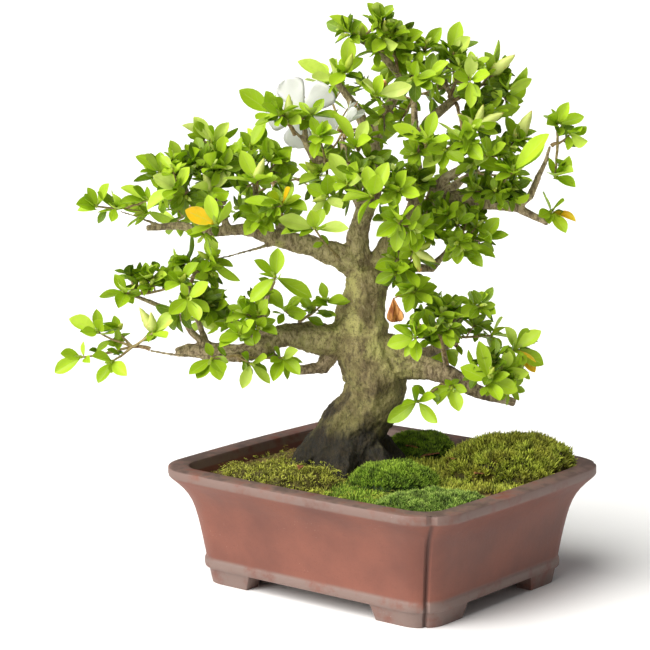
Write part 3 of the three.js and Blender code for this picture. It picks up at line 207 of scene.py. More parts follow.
class Finish(Recipe):
    """A material with one Principled shader, written as a recipe."""

    def __init__(self, name):
        self.material = bpy.data.materials.new(name)
        self.material.use_nodes = True
        super().__init__(self.material.node_tree)
        self.shader = self.tree.nodes["Principled BSDF"]
        self.output = self.tree.nodes["Material Output"]
        self.place = self.node("ShaderNodeTexCoord", out="Object")
        print("finish", name)

    def set(self, **values):
        for name, value in values.items():
            self.feed(self.shader.inputs[name.replace("_", " ")], value)

    def bump(self, height, strength, distance):
        values = {"Height": height, "Strength": strength, "Distance": distance * MM}
        self.set(Normal=self.node("ShaderNodeBump", values))

    def height(self):
        """The height above the floor, in millimetres."""
        return self.split(self.place)[2] * 1000

    def grain(self):
        """How far along and across its own grain each place of a piece lies, from 0 to 1."""
        return self.split(self.node("ShaderNodeUVMap", uv_map="grain"))[:2]

    def let_through(self, colour, share):
        """Mixes in light that comes through from behind, as in a leaf or a petal."""
        glow = self.node("ShaderNodeBsdfTranslucent", {"Color": colour})
        front = Field(self, self.shader.outputs[0])
        both = self.node("ShaderNodeMixShader", {0: share, 1: front, 2: glow})
        self.feed(self.output.inputs["Surface"], both)

    def own(self, name):
        return self.node("ShaderNodeAttribute", out="Fac", attribute_name=name)

    def near(self, point, radius):
        """1 at a point of the object and 0 beyond a radius in millimetres."""
        away = self.distance(self.place, tuple(point))
        return 1 - self.band(away * 1000, radius * 0.6, radius)

# %% [markdown]
# ## Meshes from points
# Every piece below ends as a plain mesh at the origin, with its place in its points. These helpers
# make such a mesh, weld a copy of a node of the frame, and turn a piece with a Geometry Nodes
# modifier into a plain mesh.

# %% Mesh helpers
def smooth(mesh):
    mesh.polygons.foreach_set("use_smooth", [True] * len(mesh.polygons))


def piece_of(name, points, faces, *materials):
    mesh = bpy.data.meshes.new(name)
    mesh.from_pydata([tuple(p) for p in points], [], faces)
    for material in materials:
        mesh.materials.append(material)
    smooth(mesh)
    mesh.update()
    piece = bpy.data.objects.new(name, mesh)
    bpy.context.scene.collection.objects.link(piece)
    return piece


def mend(mesh, gap=0.0, outwards=True):
    """Joins the points within a gap in millimetres, if one is given, and turns the faces outwards."""
    shape = bmesh.new()
    shape.from_mesh(mesh)
    if gap:
        bmesh.ops.remove_doubles(shape, verts=shape.verts, dist=gap * MM)
    if outwards:
        bmesh.ops.recalc_face_normals(shape, faces=shape.faces)
    shape.to_mesh(mesh)
    shape.free()


def welded(node, name):
    """A copy of a frame node's mesh, with its loose triangles joined."""
    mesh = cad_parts[node].data.copy()
    mesh.name = name
    mesh.materials.clear()
    mend(mesh, 0.005, outwards=False)
    for layer in list(mesh.uv_layers):
        mesh.uv_layers.remove(layer)
    piece = bpy.data.objects.new(name, mesh)
    bpy.context.scene.collection.objects.link(piece)
    return piece


def settle(piece):
    """Applies every modifier of a piece, so that a plain mesh is left."""
    bpy.context.view_layer.update()
    graph = bpy.context.evaluated_depsgraph_get()
    mesh = bpy.data.meshes.new_from_object(piece.evaluated_get(graph), depsgraph=graph)
    piece.modifiers.clear()
    old, piece.data = piece.data, mesh
    mesh.name = piece.name
    bpy.data.meshes.remove(old)


def modifier(piece, kind, **settings):
    made = piece.modifiers.new(kind.lower(), kind)
    for name, value in settings.items():
        setattr(made, name, value)


def finished(piece, slot, *nodes):
    """The piece rides on the object and stands for frame nodes, which it hides. The slot is not used."""
    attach(piece, "root")
    if nodes:
        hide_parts(*nodes)
    print(piece.name, len(piece.data.polygons), "faces")


def geometry_tree(name, **inputs):
    """An empty Geometry Nodes tree with named inputs, and its recipe."""
    tree = bpy.data.node_groups.new(name, "GeometryNodeTree")
    tree.interface.new_socket("Geometry", in_out="INPUT", socket_type="NodeSocketGeometry")
    for title, kind in inputs.items():
        tree.interface.new_socket(title, in_out="INPUT", socket_type="NodeSocket" + kind)
    tree.interface.new_socket("Geometry", in_out="OUTPUT", socket_type="NodeSocketGeometry")
    recipe = Recipe(tree)
    recipe.given = tree.nodes.new("NodeGroupInput")
    recipe.result = tree.nodes.new("NodeGroupOutput")
    return recipe


def given(recipe, title):
    return Field(recipe, recipe.given.outputs[title])


def push_out(recipe, height):
    """Ends a tree that moves every point along its normal, by a height in millimetres."""
    normal = recipe.node("GeometryNodeInputNormal")
    offset = recipe.node("ShaderNodeVectorMath", {0: normal, "Scale": height * MM}, operation="SCALE")
    moved = recipe.node("GeometryNodeSetPosition", {"Geometry": given(recipe, "Geometry"),
                                                    "Offset": offset})
    recipe.feed(recipe.result.inputs[0], moved)


def run_tree(piece, recipe, **values):
    made = piece.modifiers.new(recipe.tree.name, "NODES")
    made.node_group = recipe.tree
    for item in recipe.tree.interface.items_tree:
        if item.in_out == "INPUT" and item.name in values:
            made[item.identifier] = values[item.name]

# %% [markdown]
# ## Stage and light
# The tree stands on a plain pale floor. A broad sun lamp shines from the front left and above, and a
# weaker one from the same side but low, which reaches the trunk under the crown. So the left side of
# the pot is bright and its right side lies in soft shade, as in the photograph. A weak pale sky fills
# the rest, and the white floor throws light back from below.

# %% Stage
FLOOR_REACH = 30
floor = piece_of("floor", [(-FLOOR_REACH, -FLOOR_REACH, 0), (FLOOR_REACH, -FLOOR_REACH, 0),
                           (FLOOR_REACH, FLOOR_REACH, 0), (-FLOOR_REACH, FLOOR_REACH, 0)],
                 [(0, 1, 2, 3)])
paper = Finish("floor_paper")
grain = paper.noise(paper.place, 3, 2)
paper.set(Base_Color=paper.mix(grain, (0.95, 0.95, 0.95, 1), (0.98, 0.98, 0.98, 1)), Roughness=0.9)
floor.data.materials.append(paper.material)
floor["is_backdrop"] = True

# %% Light
# Each row: name, the side that it shines from, strength, and angle in degrees.
SUNS = [("key_light", Vector((-0.2, -0.8, 1.0)), 4.8, 60),
        ("fill_light", Vector((-0.3, -0.9, 0.2)), 1.7, 40)]
SUN_COLOUR = (1, 0.985, 0.95)
SKY_POWER = 0.2

sky = bpy.data.worlds.new("sky")
sky.use_nodes = True
sky.node_tree.nodes["Background"].inputs["Color"].default_value = (1.0, 1.0, 1.0, 1)
sky.node_tree.nodes["Background"].inputs["Strength"].default_value = SKY_POWER
bpy.context.scene.world = sky
bpy.context.scene.view_settings.view_transform = "Standard"

for name, side, power, spread in SUNS:
    lamp = bpy.data.lights.new(name, "SUN")
    lamp.energy = power
    lamp.angle = math.radians(spread)
    lamp.color = SUN_COLOUR
    held = bpy.data.objects.new(name, lamp)
    held.rotation_mode = "QUATERNION"
    held.rotation_quaternion = side.to_track_quat("Z", "Y")
    bpy.context.scene.collection.objects.link(held)
    print(name, "from", [round(v, 2) for v in side])

# %% [markdown]
# ## The pot
# The pot is unglazed red-brown stoneware: a rectangle with bowed sides that flares to a broad rim,
# with a groove down each corner, a raised band round its foot and four feet cut from a low wall.
# Its section is written as heights and shares of the flare, so one outline function makes every
# ring, and the rings are skinned to one closed wall.

# %% Pot outline
RIM = (225, 196)
FOOT = (180, 148.5)
FOOT_HEIGHT = 10
FOOT_SPAN = (40, 38)
FOOT_THICKNESS = 11
RIM_CORNER = 30
FOOT_CORNER = 17.5
SMALLEST_CORNER = 9
SIDE_BOW = 1.8
GROOVE_DEPTH = 2.3
GROOVE_HALF_WIDTH = 2.2
DRAIN_RADIUS = 11
DRAIN_OFFSET = 45
CORNER_STEPS = 14
SIDE_STEPS = 8


def mix(first, second, share):
    return first + (second - first) * share


def pot_ring(share, inset, groove, z):
    """One closed ring of the pot at a height, in metres, round the middle of the pot."""
    half = [mix(f, r, share) / 2 - inset for f, r in zip(FOOT, RIM)]
    radius = max(mix(FOOT_CORNER, RIM_CORNER, share) - inset, SMALLEST_CORNER)
    bow = SIDE_BOW * share
    ring = []
    for quarter, signs in enumerate([(1, 1), (-1, 1), (-1, -1), (1, -1)]):
        corner = [sign * (h - radius) for sign, h in zip(signs, half)]
        for i in range(CORNER_STEPS + 1):
            angle = i / CORNER_STEPS * math.pi / 2
            from_middle = (angle - math.pi / 4) * radius
            dip = groove * max(0, 1 - (from_middle / GROOVE_HALF_WIDTH) ** 2)
            heading = quarter * math.pi / 2 + angle
            ring.append((corner[0] + (radius - dip) * math.cos(heading),
                         corner[1] + (radius - dip) * math.sin(heading)))
        run = quarter % 2
        for i in range(1, SIDE_STEPS):
            t = i / SIDE_STEPS
            lift = bow * math.sin(math.pi * t)
            place = [sign * (h + lift) for sign, h in zip(signs, half)]
            place[run] = mix(corner[run], -corner[run], t)
            ring.append(place)
    return [Vector((x, y, z)) * MM for x, y in ring]


def skin(rings):
    """Points and faces over rings of equal length, closed at both ends by one face."""
    count = len(rings[0])
    points = [p for ring in rings for p in ring]
    faces = []
    for j in range(len(rings) - 1):
        for i in range(count):
            a, b = j * count + i, j * count + (i + 1) % count
            faces.append((a, b, b + count, a + count))
    faces.append(tuple(range(count))[::-1])
    faces.append(tuple((len(rings) - 1) * count + i for i in range(count)))
    return points, faces


# %% Pot wall
OUTSIDE = [(10, 0.1), (10.3, 0.14), (10.9, 0.157), (13, 0.163), (15.2, 0.16), (15.9, 0.15),
           (16.6, 0.137), (17.6, 0.134), (22, 0.162), (29, 0.21), (36, 0.264), (43, 0.325),
           (49, 0.388), (54, 0.46), (58, 0.545), (62, 0.66), (65.5, 0.79), (68.2, 0.905),
           (69.6, 0.965), (70.4, 0.99), (71, 1), (73.5, 1.0), (75, 1), (75.8, 0.99)]
RIM_TOP = [(76.25, 0.99, 1.2), (76.5, 1, 3.4), (76.5, 1, 8), (76.4, 1, 11.5), (75.9, 1, 13.2)]
INSIDE = [(74.5, 0.995, 13.5), (68, 0.95, 13.5), (62, 0.7, 10), (56, 0.52, 9), (42, 0.34, 9),
          (30, 0.22, 9), (22, 0.15, 9), (19, 0.11, 10.5), (18, 0.1, 13)]

rings = [pot_ring(share, 0, GROOVE_DEPTH, z) for z, share in OUTSIDE]
rings += [pot_ring(share, inset, 0, z) for z, share, inset in RIM_TOP + INSIDE]
points, faces = skin(rings)
pot = piece_of("pot_wall", points, faces)


def gap_block(axis, bottom, top, reach):
    """The slanted block that is cut out between two feet."""
    ends = []
    for end in (-reach, reach):
        for across, z in ((-bottom, -1), (bottom, -1), (top, FOOT_HEIGHT), (-top, FOOT_HEIGHT)):
            ends.append(Vector((end, across, z) if axis == 0 else (-across, end, z)) * MM)
    return ends


def boolean(piece, tool, operation):
    modifier(piece, "BOOLEAN", object=tool, operation=operation, solver="EXACT")
    settle(piece)
    bpy.data.objects.remove(tool)


SLANT = 2
points, faces = skin([pot_ring(0.0, 0, GROOVE_DEPTH, 0), pot_ring(0.012, 0, GROOVE_DEPTH, 1.2),
                      pot_ring(0.08, 0, GROOVE_DEPTH, FOOT_HEIGHT + 0.5)])
feet = piece_of("feet", points, faces)
hollow = piece_of("hollow", *skin([pot_ring(0, FOOT_THICKNESS, 0, -1),
                                   pot_ring(0, FOOT_THICKNESS, 0, FOOT_HEIGHT + 1)]))
boolean(feet, hollow, "DIFFERENCE")
PRISM_FACES = [(0, 1, 2, 3), (7, 6, 5, 4), (1, 0, 4, 5), (2, 1, 5, 6), (3, 2, 6, 7), (0, 3, 7, 4)]
for axis in (0, 1):
    gap = FOOT[1 - axis] / 2 - FOOT_SPAN[1 - axis]
    cut = piece_of("cut", gap_block(axis, gap + SLANT, gap - SLANT, FOOT[axis]), PRISM_FACES)
    mend(cut.data)
    boolean(feet, cut, "DIFFERENCE")
boolean(pot, feet, "UNION")
for x in (-DRAIN_OFFSET, DRAIN_OFFSET):
    round_ring = [(x + DRAIN_RADIUS * math.cos(a), DRAIN_RADIUS * math.sin(a))
                  for a in np.linspace(0, math.tau, 32, endpoint=False)]
    drill = piece_of("drill", *skin([[Vector((px, py, z)) * MM for px, py in round_ring]
                                     for z in (-2, 30)]))
    boolean(pot, drill, "DIFFERENCE")
pot.data.transform(Matrix.Translation(pot_middle))
print("pot", len(pot.data.polygons), "faces", [round(v * 1000, 1) for v in pot.dimensions])

# %% [markdown]
# Stoneware is fired without glaze, so the body itself shows: a warm red-brown that runs a little
# greyer on the rim, on the band and where hands and water have worn the edges, with fine grains of
# sand and a few pale flecks. Noises of different sizes and one pattern of cells give that, and one
# more noise the tiny pits of the surface. The corner grooves are painted darker, as painted shade in
# the recesses. They lie where the distances from the pot's two middle planes differ by a fixed length.

# %% Clay finish
GROOVE_LINE = (RIM[0] - RIM[1] + FOOT[0] - FOOT[1]) / 4
clay = Finish("stoneware")
cloud = clay.noise(clay.place, 22, 4, 0.55)
grain = clay.noise(clay.place, 900, 2, 0.7)
fleck = clay.cells(clay.place, 420)
height = clay.height()
body = clay.mix(clay.band(cloud, 0.3, 0.72), paint(98, 52, 39), paint(122, 70, 54))
body = clay.mix(clay.band(grain, 0.52, 0.75) * 0.4, body, paint(90, 52, 42))
scuffed = clay.noise(clay.place, 60, 5, 0.65)
rim = clay.band(height, 69.5, 71.2)
foot = 1 - clay.band(height, 15.5, 18.5)
grey = (rim * 0.85 + foot * 0.95) * clay.band(scuffed, 0.25, 0.55)
body = clay.mix(grey, body, paint(116, 97, 90))
edge = clay.band(height, 75.2, 76.2) * clay.band(scuffed, 0.42, 0.62)
body = clay.mix(edge * 0.7, body, paint(70, 54, 48))
planes = clay.split(clay.place)
across_x = (planes[0] - pot_middle.x).size()
across_y = (planes[1] - pot_middle.y).size()
# Painted shade: the corner grooves are darkened in the colour, where the recess lies in shade.
from_groove = ((across_x - across_y) * 1000 - GROOVE_LINE).size()
groove = (1 - clay.band(from_groove, 0.6, GROOVE_HALF_WIDTH * 1.3)) * (1 - clay.band(height, 69, 70.5))
body = clay.mix(groove * 0.6, body, paint(52, 31, 25))
pale = (1 - clay.band(fleck, 0.05, 0.1)) * clay.band(clay.noise(clay.place, 35), 0.55, 0.7)
body = clay.mix(pale * 0.55, body, paint(214, 196, 180))
clay.set(Base_Color=body, Roughness=clay.band(cloud, 0.2, 0.9) * 0.16 + 0.46 + rim * 0.08)
clay.bump(grain * 0.6 + clay.noise(clay.place, 260, 3) * 0.8 - pale * 0.5, 0.35, 0.35)
pot.data.materials.clear()
pot.data.materials.append(clay.material)
modifier(pot, "BEVEL", width=0.35 * MM, segments=2, limit_method="ANGLE",
         angle_limit=math.radians(40))
settle(pot)
smooth(pot.data)
pot.data.set_sharp_from_angle(angle=math.radians(38))
finished(pot, "clay", "pot")

# %% [markdown]
# ## Wood
# Trunk, surface roots and branches are one grown piece. The frame's solid has the right bends and
# taper but flat faces. A welded copy is remeshed finely and relaxed, so its facets melt into one
# skin. Each point then learns how thick the wood is there, by a ray through to the other side:
# deep bark belongs on thick wood only.

# %% Trunk skin
BARK_VOXEL = 0.75
BARK_KEPT = 0.42
WIDEST = 50
JUST_INSIDE = 0.1
THIN_WOOD = 2
trunk = welded("trunk_and_branches", "trunk")
modifier(trunk, "REMESH", mode="VOXEL", voxel_size=BARK_VOXEL * MM)
modifier(trunk, "SMOOTH", factor=0.5, iterations=6)
settle(trunk)
tree_of_faces = BVHTree.FromObject(trunk, bpy.context.evaluated_depsgraph_get())
girth = []
for vertex in trunk.data.vertices:
    inward = -vertex.normal
    hit = tree_of_faces.ray_cast(vertex.co + inward * JUST_INSIDE * MM, inward)
    girth.append(min((hit[3] or THIN_WOOD * MM) / MM, WIDEST))
trunk.data.attributes.new("girth", "FLOAT", "POINT").data.foreach_set("value", girth)
print("trunk", len(trunk.data.vertices), "points, widest", round(max(girth), 1))

# %% [markdown]
# Azalea bark is thin and mottled, with shallow plates, wrinkles round the collars and knobs where
# twigs were cut. The relief is a Geometry Nodes tree: every point moves along its normal by a sum of
# noises, times the thickness there, so the twigs stay slim.

# %% Bark relief
relief = geometry_tree("bark relief", **{"Plate height": "Float", "Lump height": "Float",
                                          "Knob height": "Float"})
place = relief.node("GeometryNodeInputPosition")
thick = relief.node("GeometryNodeInputNamedAttribute", {"Name": "girth"}, data_type="FLOAT")
share = relief.band(thick, 1, 24)
upright = relief.stretch(place, (1, 1, 0.38))
plates = relief.noise(upright, 215, 5, 0.62, 0.6)
cracks = (relief.noise(upright, 230, 3, 0.6, 1.2) - 0.5).size()
lumps = relief.noise(place, 52, 3, 0.5, 0.3)
knobs = relief.noise(place, 125, 2, 0.5)
height = (plates - 0.5) * given(relief, "Plate height") + (lumps - 0.5) * given(relief, "Lump height")
height = height + (knobs - 0.5) * given(relief, "Knob height") * (1.2 - share)
height = height - relief.band(0.07 - cracks, 0, 0.07) * 0.55
push_out(relief, height * (share * 0.9 + 0.1))
run_tree(trunk, relief, **{"Plate height": 3.0, "Lump height": 7.0, "Knob height": 7.0})
modifier(trunk, "DECIMATE", ratio=BARK_KEPT)
settle(trunk)
print("trunk relief done")


# %% Places on the tree
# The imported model's tree is turned by this much, which is the camera's turn to a tenth of a degree.
TREE_TURN_DEGREES = 38.4
TREE_TURN = Matrix.Rotation(math.radians(TREE_TURN_DEGREES), 3, "Z")


def on_tree(u, v, z):
    """A place given to the right, away from the viewer and up, in millimetres, in the frame."""
    return TREE_TURN @ Vector((u, v, z)) * MM + pot_middle


# %% [markdown]
# The bark's colour is laid in layers: brown and olive mottling, pale raised plates, dark cracks, and
# fine specks. Thin twigs are greyer. The lower trunk is painted darker and its foot nearly black, as
# painted shade. The ends of cut branches show pale wood.

# %% Bark finish
CUTS = [(39.5, -14, 265), (48.8, -14, 267.5), (2.6, -4, 275), (76, -14, 120), (-78.8, -10, 160)]
CUT_RADIUS = 5
bark = Finish("bark")
stretched = bark.stretch(bark.place, (1, 1, 0.5))
patch = bark.noise(bark.place, 34, 3, 0.55, 0.5)
mottle = bark.noise(bark.place, 90, 5, 0.62, 0.4)
plate = bark.noise(stretched, 430, 5, 0.7, 0.6)
fine = bark.noise(bark.place, 900, 3, 0.7)
tone = bark.mix(bark.band(mottle, 0.38, 0.58), paint(146, 134, 84), paint(196, 188, 118))
tone = bark.mix(bark.band(patch, 0.46, 0.62) * 0.5, tone, paint(150, 154, 76))
tone = bark.mix(bark.band(0.5 - patch, 0.02, 0.14) * 0.5, tone, paint(118, 98, 72))
tone = bark.mix(bark.band(plate, 0.54, 0.68) * 0.5, tone, paint(200, 190, 146))
tone = bark.mix(bark.band(0.5 - plate, 0.03, 0.14) * 0.65, tone, paint(62, 50, 32))
tone = bark.mix(bark.band(fine, 0.5, 0.68) * 0.5, tone, paint(58, 48, 30))
height = bark.height()
# Painted shade: below about 150 mm the bark is painted darker than the lit upper trunk.
low = 1 - bark.band(height + (mottle - 0.5) * 60, 112, 178)
tone = bark.mix(low * 0.6, tone, bark.mix(bark.band(plate, 0.4, 0.6), paint(66, 54, 34),
                                          paint(120, 104, 70)))
twiggy = 1 - bark.band(bark.own("girth"), 8, 24)
tone = bark.mix(twiggy * 0.7, tone, bark.mix(bark.band(plate, 0.42, 0.6), paint(108, 88, 70),
                                             paint(192, 170, 140)))
# Painted shade: the foot of the trunk is painted nearly black.
painted_foot_shade = 1 - bark.band(height + (patch - 0.5) * 90, 92, 120)
tone = bark.mix(painted_foot_shade * 0.94, tone, bark.mix(bark.band(plate, 0.45, 0.65), paint(19, 15, 10),
                                           paint(46, 36, 24)))
for cut in CUTS:
    tone = bark.mix(bark.near(on_tree(*cut), CUT_RADIUS) * bark.band(fine, 0.3, 0.55), tone,
                    paint(190, 176, 142))
bark.set(Base_Color=tone, Roughness=bark.band(plate, 0.3, 0.7) * 0.2 + 0.7)
bark.bump(plate * 1.2 + fine * 0.45 + mottle * 0.8, 0.9, 1.2)
trunk.data.materials.append(bark.material)
smooth(trunk.data)
finished(trunk, "bark", "trunk_and_branches")

# %% [markdown]
# ## Leaves
# A satsuki leaf is a small, slightly cupped blade on a short stalk, widest beyond its middle, with a
# sunken midrib, a soft shine and a pale hairy margin. It is repeated over a thousand times, so it
# has a few dozen faces: a closed thin blade. Each leaf draws one of three bends.

# %% Leaf shape
LARGE_BLADE = ([0.08, 0.17, 0.3, 0.45, 0.6, 0.74, 0.86, 0.95],
               [0.06, 0.18, 0.34, 0.46, 0.5, 0.45, 0.31, 0.14], [-1, -0.5, 0, 0.5, 1])
SMALL_BLADE = ([0.08, 0.25, 0.48, 0.7, 0.9], [0.06, 0.28, 0.48, 0.46, 0.22], [-1, 0, 1])
LEAF_THICKNESS = 0.022


def leaf_shape(name, blade, cup, curl, wave):
    """A leaf of length and width 1 along X, with its upper side up and its grain as a UV map."""
    stations, half_widths, across = blade
    points, grain, faces = [], [], []
    for level in (1, -1):
        for t, half in zip(stations, half_widths):
            for s in across:
                fold = cup * abs(s) ** 1.5 - 0.02 * (1 - abs(s))
                ripple = wave * math.sin(9 * t + 2 * s) * abs(s)
                inner = 0 if abs(s) == 1 else LEAF_THICKNESS / 2 * level
                points.append((t, s * half, fold * 2 * half + ripple + curl * (t - t * t) + inner))
                grain.append((t, 0.5 + s / 2))
    columns, rows = len(across), len(stations)
    layer = columns * rows
    tip = len(points)
    points.append((1, 0, 0))
    grain.append((1, 0.5))
    for level, start in ((0, 0), (1, layer)):
        for j in range(rows - 1):
            for i in range(columns - 1):
                a = start + j * columns + i
                quad = (a, a + columns, a + columns + 1, a + 1)
                faces.append(quad[::-1] if level == 0 else quad)
        for i in range(columns - 1):
            a = start + (rows - 1) * columns + i
            faces.append((a, a + 1, tip) if level == 0 else (a + 1, a, tip))
    stalk = len(points)
    for t, r in ((0, 0.03), (0.1, 0.026)):
        for k in range(3):
            a = k / 3 * math.tau
            points.append((t, r * math.cos(a), r * math.sin(a)))
            grain.append((0.0, 0.5))
    for k in range(3):
        m = (k + 1) % 3
        faces.append((stalk + k, stalk + m, stalk + 3 + m, stalk + 3 + k))
    faces += [(stalk + 2, stalk + 1, stalk), (stalk + 3, stalk + 4, stalk + 5)]
    for i in range(columns - 1):
        faces.append((i, i + 1, layer + i + 1, layer + i))
    return shaped(name, points, grain, faces)


def shaped(name, points, grain, faces):
    """A hidden source mesh with a UV map; points that lie in one place are joined."""
    piece = piece_of(name, points, faces)
    layer = piece.data.uv_layers.new(name="grain")
    for loop in piece.data.loops:
        layer.data[loop.index].uv = grain[loop.vertex_index]
    shape = bmesh.new()
    shape.from_mesh(piece.data)
    bmesh.ops.remove_doubles(shape, verts=shape.verts, dist=1e-5)
    bmesh.ops.recalc_face_normals(shape, faces=shape.faces)
    for line in shape.edges:
        if len(line.link_faces) == 2 and line.calc_face_angle(0) > math.radians(100):
            line.smooth = False
    shape.to_mesh(piece.data)
    shape.free()
    bpy.context.scene.collection.objects.unlink(piece)
    return piece


leaf_kinds = bpy.data.collections.new("leaf_kinds")
LEAF_BENDS = [("leaf_flat", 0.16, 0.04, 0.0), ("leaf_cupped", 0.3, 0.16, 0.012),
              ("leaf_turned", 0.2, -0.2, 0.022)]
for number, (name, *bends) in enumerate(LEAF_BENDS):
    leaf_kinds.objects.link(leaf_shape(f"{number}_{name}", LARGE_BLADE, *bends))
    leaf_kinds.objects.link(leaf_shape(f"{number + len(LEAF_BENDS)}_small", SMALL_BLADE, *bends))

# %% [markdown]
# A bud is a spindle of overlapping scales. The profile steps in a little where each scale ends, and
# each side of the spindle is shifted, so that the steps climb round it.

# %% Bud shape
BUD_SIDES = 8
BUD_RINGS = 11


def bud_shape(name, belly, scales):
    """A bud of length 1 and half width 1 at its widest, along X."""
    points, grain = [(0, 0, 0)], [(0, 0.5)]
    for j in range(1, BUD_RINGS):
        t = j / BUD_RINGS
        envelope = math.sin(math.pi * t ** belly) ** 0.8
        for i in range(BUD_SIDES):
            climb = (t * scales + (i % 3) / 3) % 1
            r = envelope * (0.86 + 0.2 * climb)
            angle = i / BUD_SIDES * math.tau + 0.25 * j
            points.append((t, r * math.cos(angle), r * math.sin(angle)))
            grain.append((t, climb))
    tip = len(points)
    points.append((1, 0, 0))
    grain.append((1, 0.5))
    faces = []
    for i in range(BUD_SIDES):
        m = (i + 1) % BUD_SIDES
        faces.append((0, 1 + m, 1 + i))
        for j in range(BUD_RINGS - 2):
            a, b = 1 + j * BUD_SIDES + i, 1 + j * BUD_SIDES + m
            faces.append((a, b, b + BUD_SIDES, a + BUD_SIDES))
        last = 1 + (BUD_RINGS - 2) * BUD_SIDES
        faces.append((last + i, last + m, tip))
    return shaped(name, points, grain, faces)


bud_kinds = bpy.data.collections.new("bud_kinds")
for number, (name, belly, scales) in enumerate([("bud_slim", 0.8, 3.2), ("bud_full", 0.66, 2.4)]):
    bud_kinds.objects.link(bud_shape(f"{number}_{name}", belly, scales))

# %% [markdown]
# The colour of a leaf follows its age. Each leaf carries one number, its tint: low for the old dark
# ones inside the crown, high for the fresh yellow-green ones at the tips. The veins come from the
# grain, which runs from the stalk to the tip and across.

# %% Leaf finish
leaf_green = Finish("azalea_leaf")
tint = leaf_green.own("tint")
along, across = leaf_green.grain()
across = (across - 0.5).size() * 2
ages = leaf_green.node("ShaderNodeValToRGB", {0: tint})
ramp = leaf_green.last.color_ramp
ramp.elements[0].color = paint(60, 94, 12)
ramp.elements[-1].color = paint(246, 206, 30)
for position, colour in ((0.25, paint(116, 150, 22)), (0.5, paint(176, 208, 34)),
                         (0.75, paint(204, 230, 66)), (0.92, paint(228, 236, 150))):
    ramp.elements.new(position).color = colour
blotch = leaf_green.noise(leaf_green.place, 160, 3)
tone = leaf_green.mix(leaf_green.band(blotch, 0.35, 0.7) * 0.3, ages, paint(176, 206, 36))
veins = ((along * 5.5 - across * 1.6) * math.tau).sin()
vein = leaf_green.band(veins, 0.86, 1.0) * (1 - leaf_green.band(across, 0.75, 0.95))
midrib = 1 - leaf_green.band(across, 0.03, 0.1)
tone = leaf_green.mix((vein * 0.14 + midrib * 0.26).clamp(), tone, paint(196, 214, 112))
margin = leaf_green.band(across, 0.9, 1.0)
tone = leaf_green.mix(margin * 0.3, tone, paint(216, 224, 140))
stalk = 1 - leaf_green.band(along, 0.02, 0.1)
tone = leaf_green.mix(stalk * 0.75, tone, paint(150, 120, 60))
leaf_green.set(Base_Color=tone, Roughness=leaf_green.band(blotch, 0.3, 0.8) * 0.15 + 0.34)
leaf_green.set(Specular_IOR_Level=0.35)
leaf_green.bump(blotch * 0.4 - vein * 0.5 - midrib, 0.35, 0.25)
leaf_green.let_through(tone, share=0.38)

# %% Bud finish
bud_green = Finish("bud_scales")
along, climb = bud_green.grain()
tint = bud_green.own("tint")
tone = bud_green.mix(bud_green.band(tint, 0.3, 0.9), paint(176, 194, 60), paint(208, 218, 122))
tone = bud_green.mix((1 - bud_green.band(along, 0.05, 0.3)) * 0.6, tone, paint(140, 168, 40))
tone = bud_green.mix(bud_green.band(climb, 0.72, 0.98) * 0.5, tone, paint(204, 148, 74))
tone = bud_green.mix(bud_green.band(along, 0.9, 1.0) * 0.6, tone, paint(196, 132, 70))
bud_green.set(Base_Color=tone, Roughness=0.5)
bud_green.bump(climb, 0.3, 0.3)
bud_green.let_through(tone, share=0.25)

# %% Twig finish
twig_bark = Finish("twig_bark")
streak = twig_bark.noise(twig_bark.place, 500, 3)
tone = twig_bark.mix(twig_bark.band(streak, 0.35, 0.65), paint(112, 84, 54), paint(160, 138, 96))
tone = twig_bark.mix(twig_bark.band(twig_bark.own("tint"), 0.3, 0.9) * 0.7, tone, paint(140, 150, 56))
twig_bark.set(Base_Color=tone, Roughness=0.75)
twig_bark.bump(streak, 0.4, 0.3)

# %% [markdown]
# ## Growing the sprays
# One Geometry Nodes tree grows every spray from a bare skeleton. The skeleton's lines become round
# tapering twigs. Its loose points each carry a turn, a size, a kind and a tint, and a leaf or bud is
# set on each. Realize Instances then makes it one mesh.

# %% Spray tree
BUD_KIND = 10
spray_tree = geometry_tree("grow spray", **{"Leaf kinds": "Collection", "Bud kinds": "Collection",
                                            "Twig sides": "Int"})


def named(recipe, title, kind):
    return recipe.node("GeometryNodeInputNamedAttribute", {"Name": title}, data_type=kind)


skeleton = given(spray_tree, "Geometry")
kind = named(spray_tree, "kind", "INT")
turned = spray_tree.node("FunctionNodeEulerToRotation", {0: named(spray_tree, "turn", "FLOAT_VECTOR")})
sized = named(spray_tree, "size", "FLOAT_VECTOR")
parts = []
for title, first, last, finish in (("Leaf kinds", 0, BUD_KIND - 1, leaf_green),
                                   ("Bud kinds", BUD_KIND, 2 * BUD_KIND - 1, bud_green)):
    over = spray_tree.node("FunctionNodeCompare", {2: kind, 3: first}, data_type="INT",
                           operation="GREATER_EQUAL")
    under = spray_tree.node("FunctionNodeCompare", {2: kind, 3: last}, data_type="INT",
                            operation="LESS_EQUAL")
    chosen = spray_tree.node("FunctionNodeBooleanMath", {0: over, 1: under}, operation="AND")
    stock = spray_tree.node("GeometryNodeCollectionInfo", {
        "Collection": given(spray_tree, title), "Separate Children": True, "Reset Children": True})
    placed = spray_tree.node("GeometryNodeInstanceOnPoints", {
        "Points": skeleton, "Selection": chosen, "Instance": stock, "Pick Instance": True,
        "Instance Index": kind - first, "Rotation": turned, "Scale": sized})
    real = spray_tree.node("GeometryNodeRealizeInstances", {"Geometry": placed})
    parts.append(spray_tree.node("GeometryNodeSetMaterial", {
        "Geometry": real, "Material": finish.material}))
line = spray_tree.node("GeometryNodeMeshToCurve", {"Mesh": skeleton})
ring = spray_tree.node("GeometryNodeCurvePrimitiveCircle", {
    "Resolution": given(spray_tree, "Twig sides"), "Radius": 1.0})
tube = spray_tree.node("GeometryNodeCurveToMesh", {
    "Curve": line, "Profile Curve": ring, "Scale": named(spray_tree, "twig_radius", "FLOAT"),
    "Fill Caps": True})
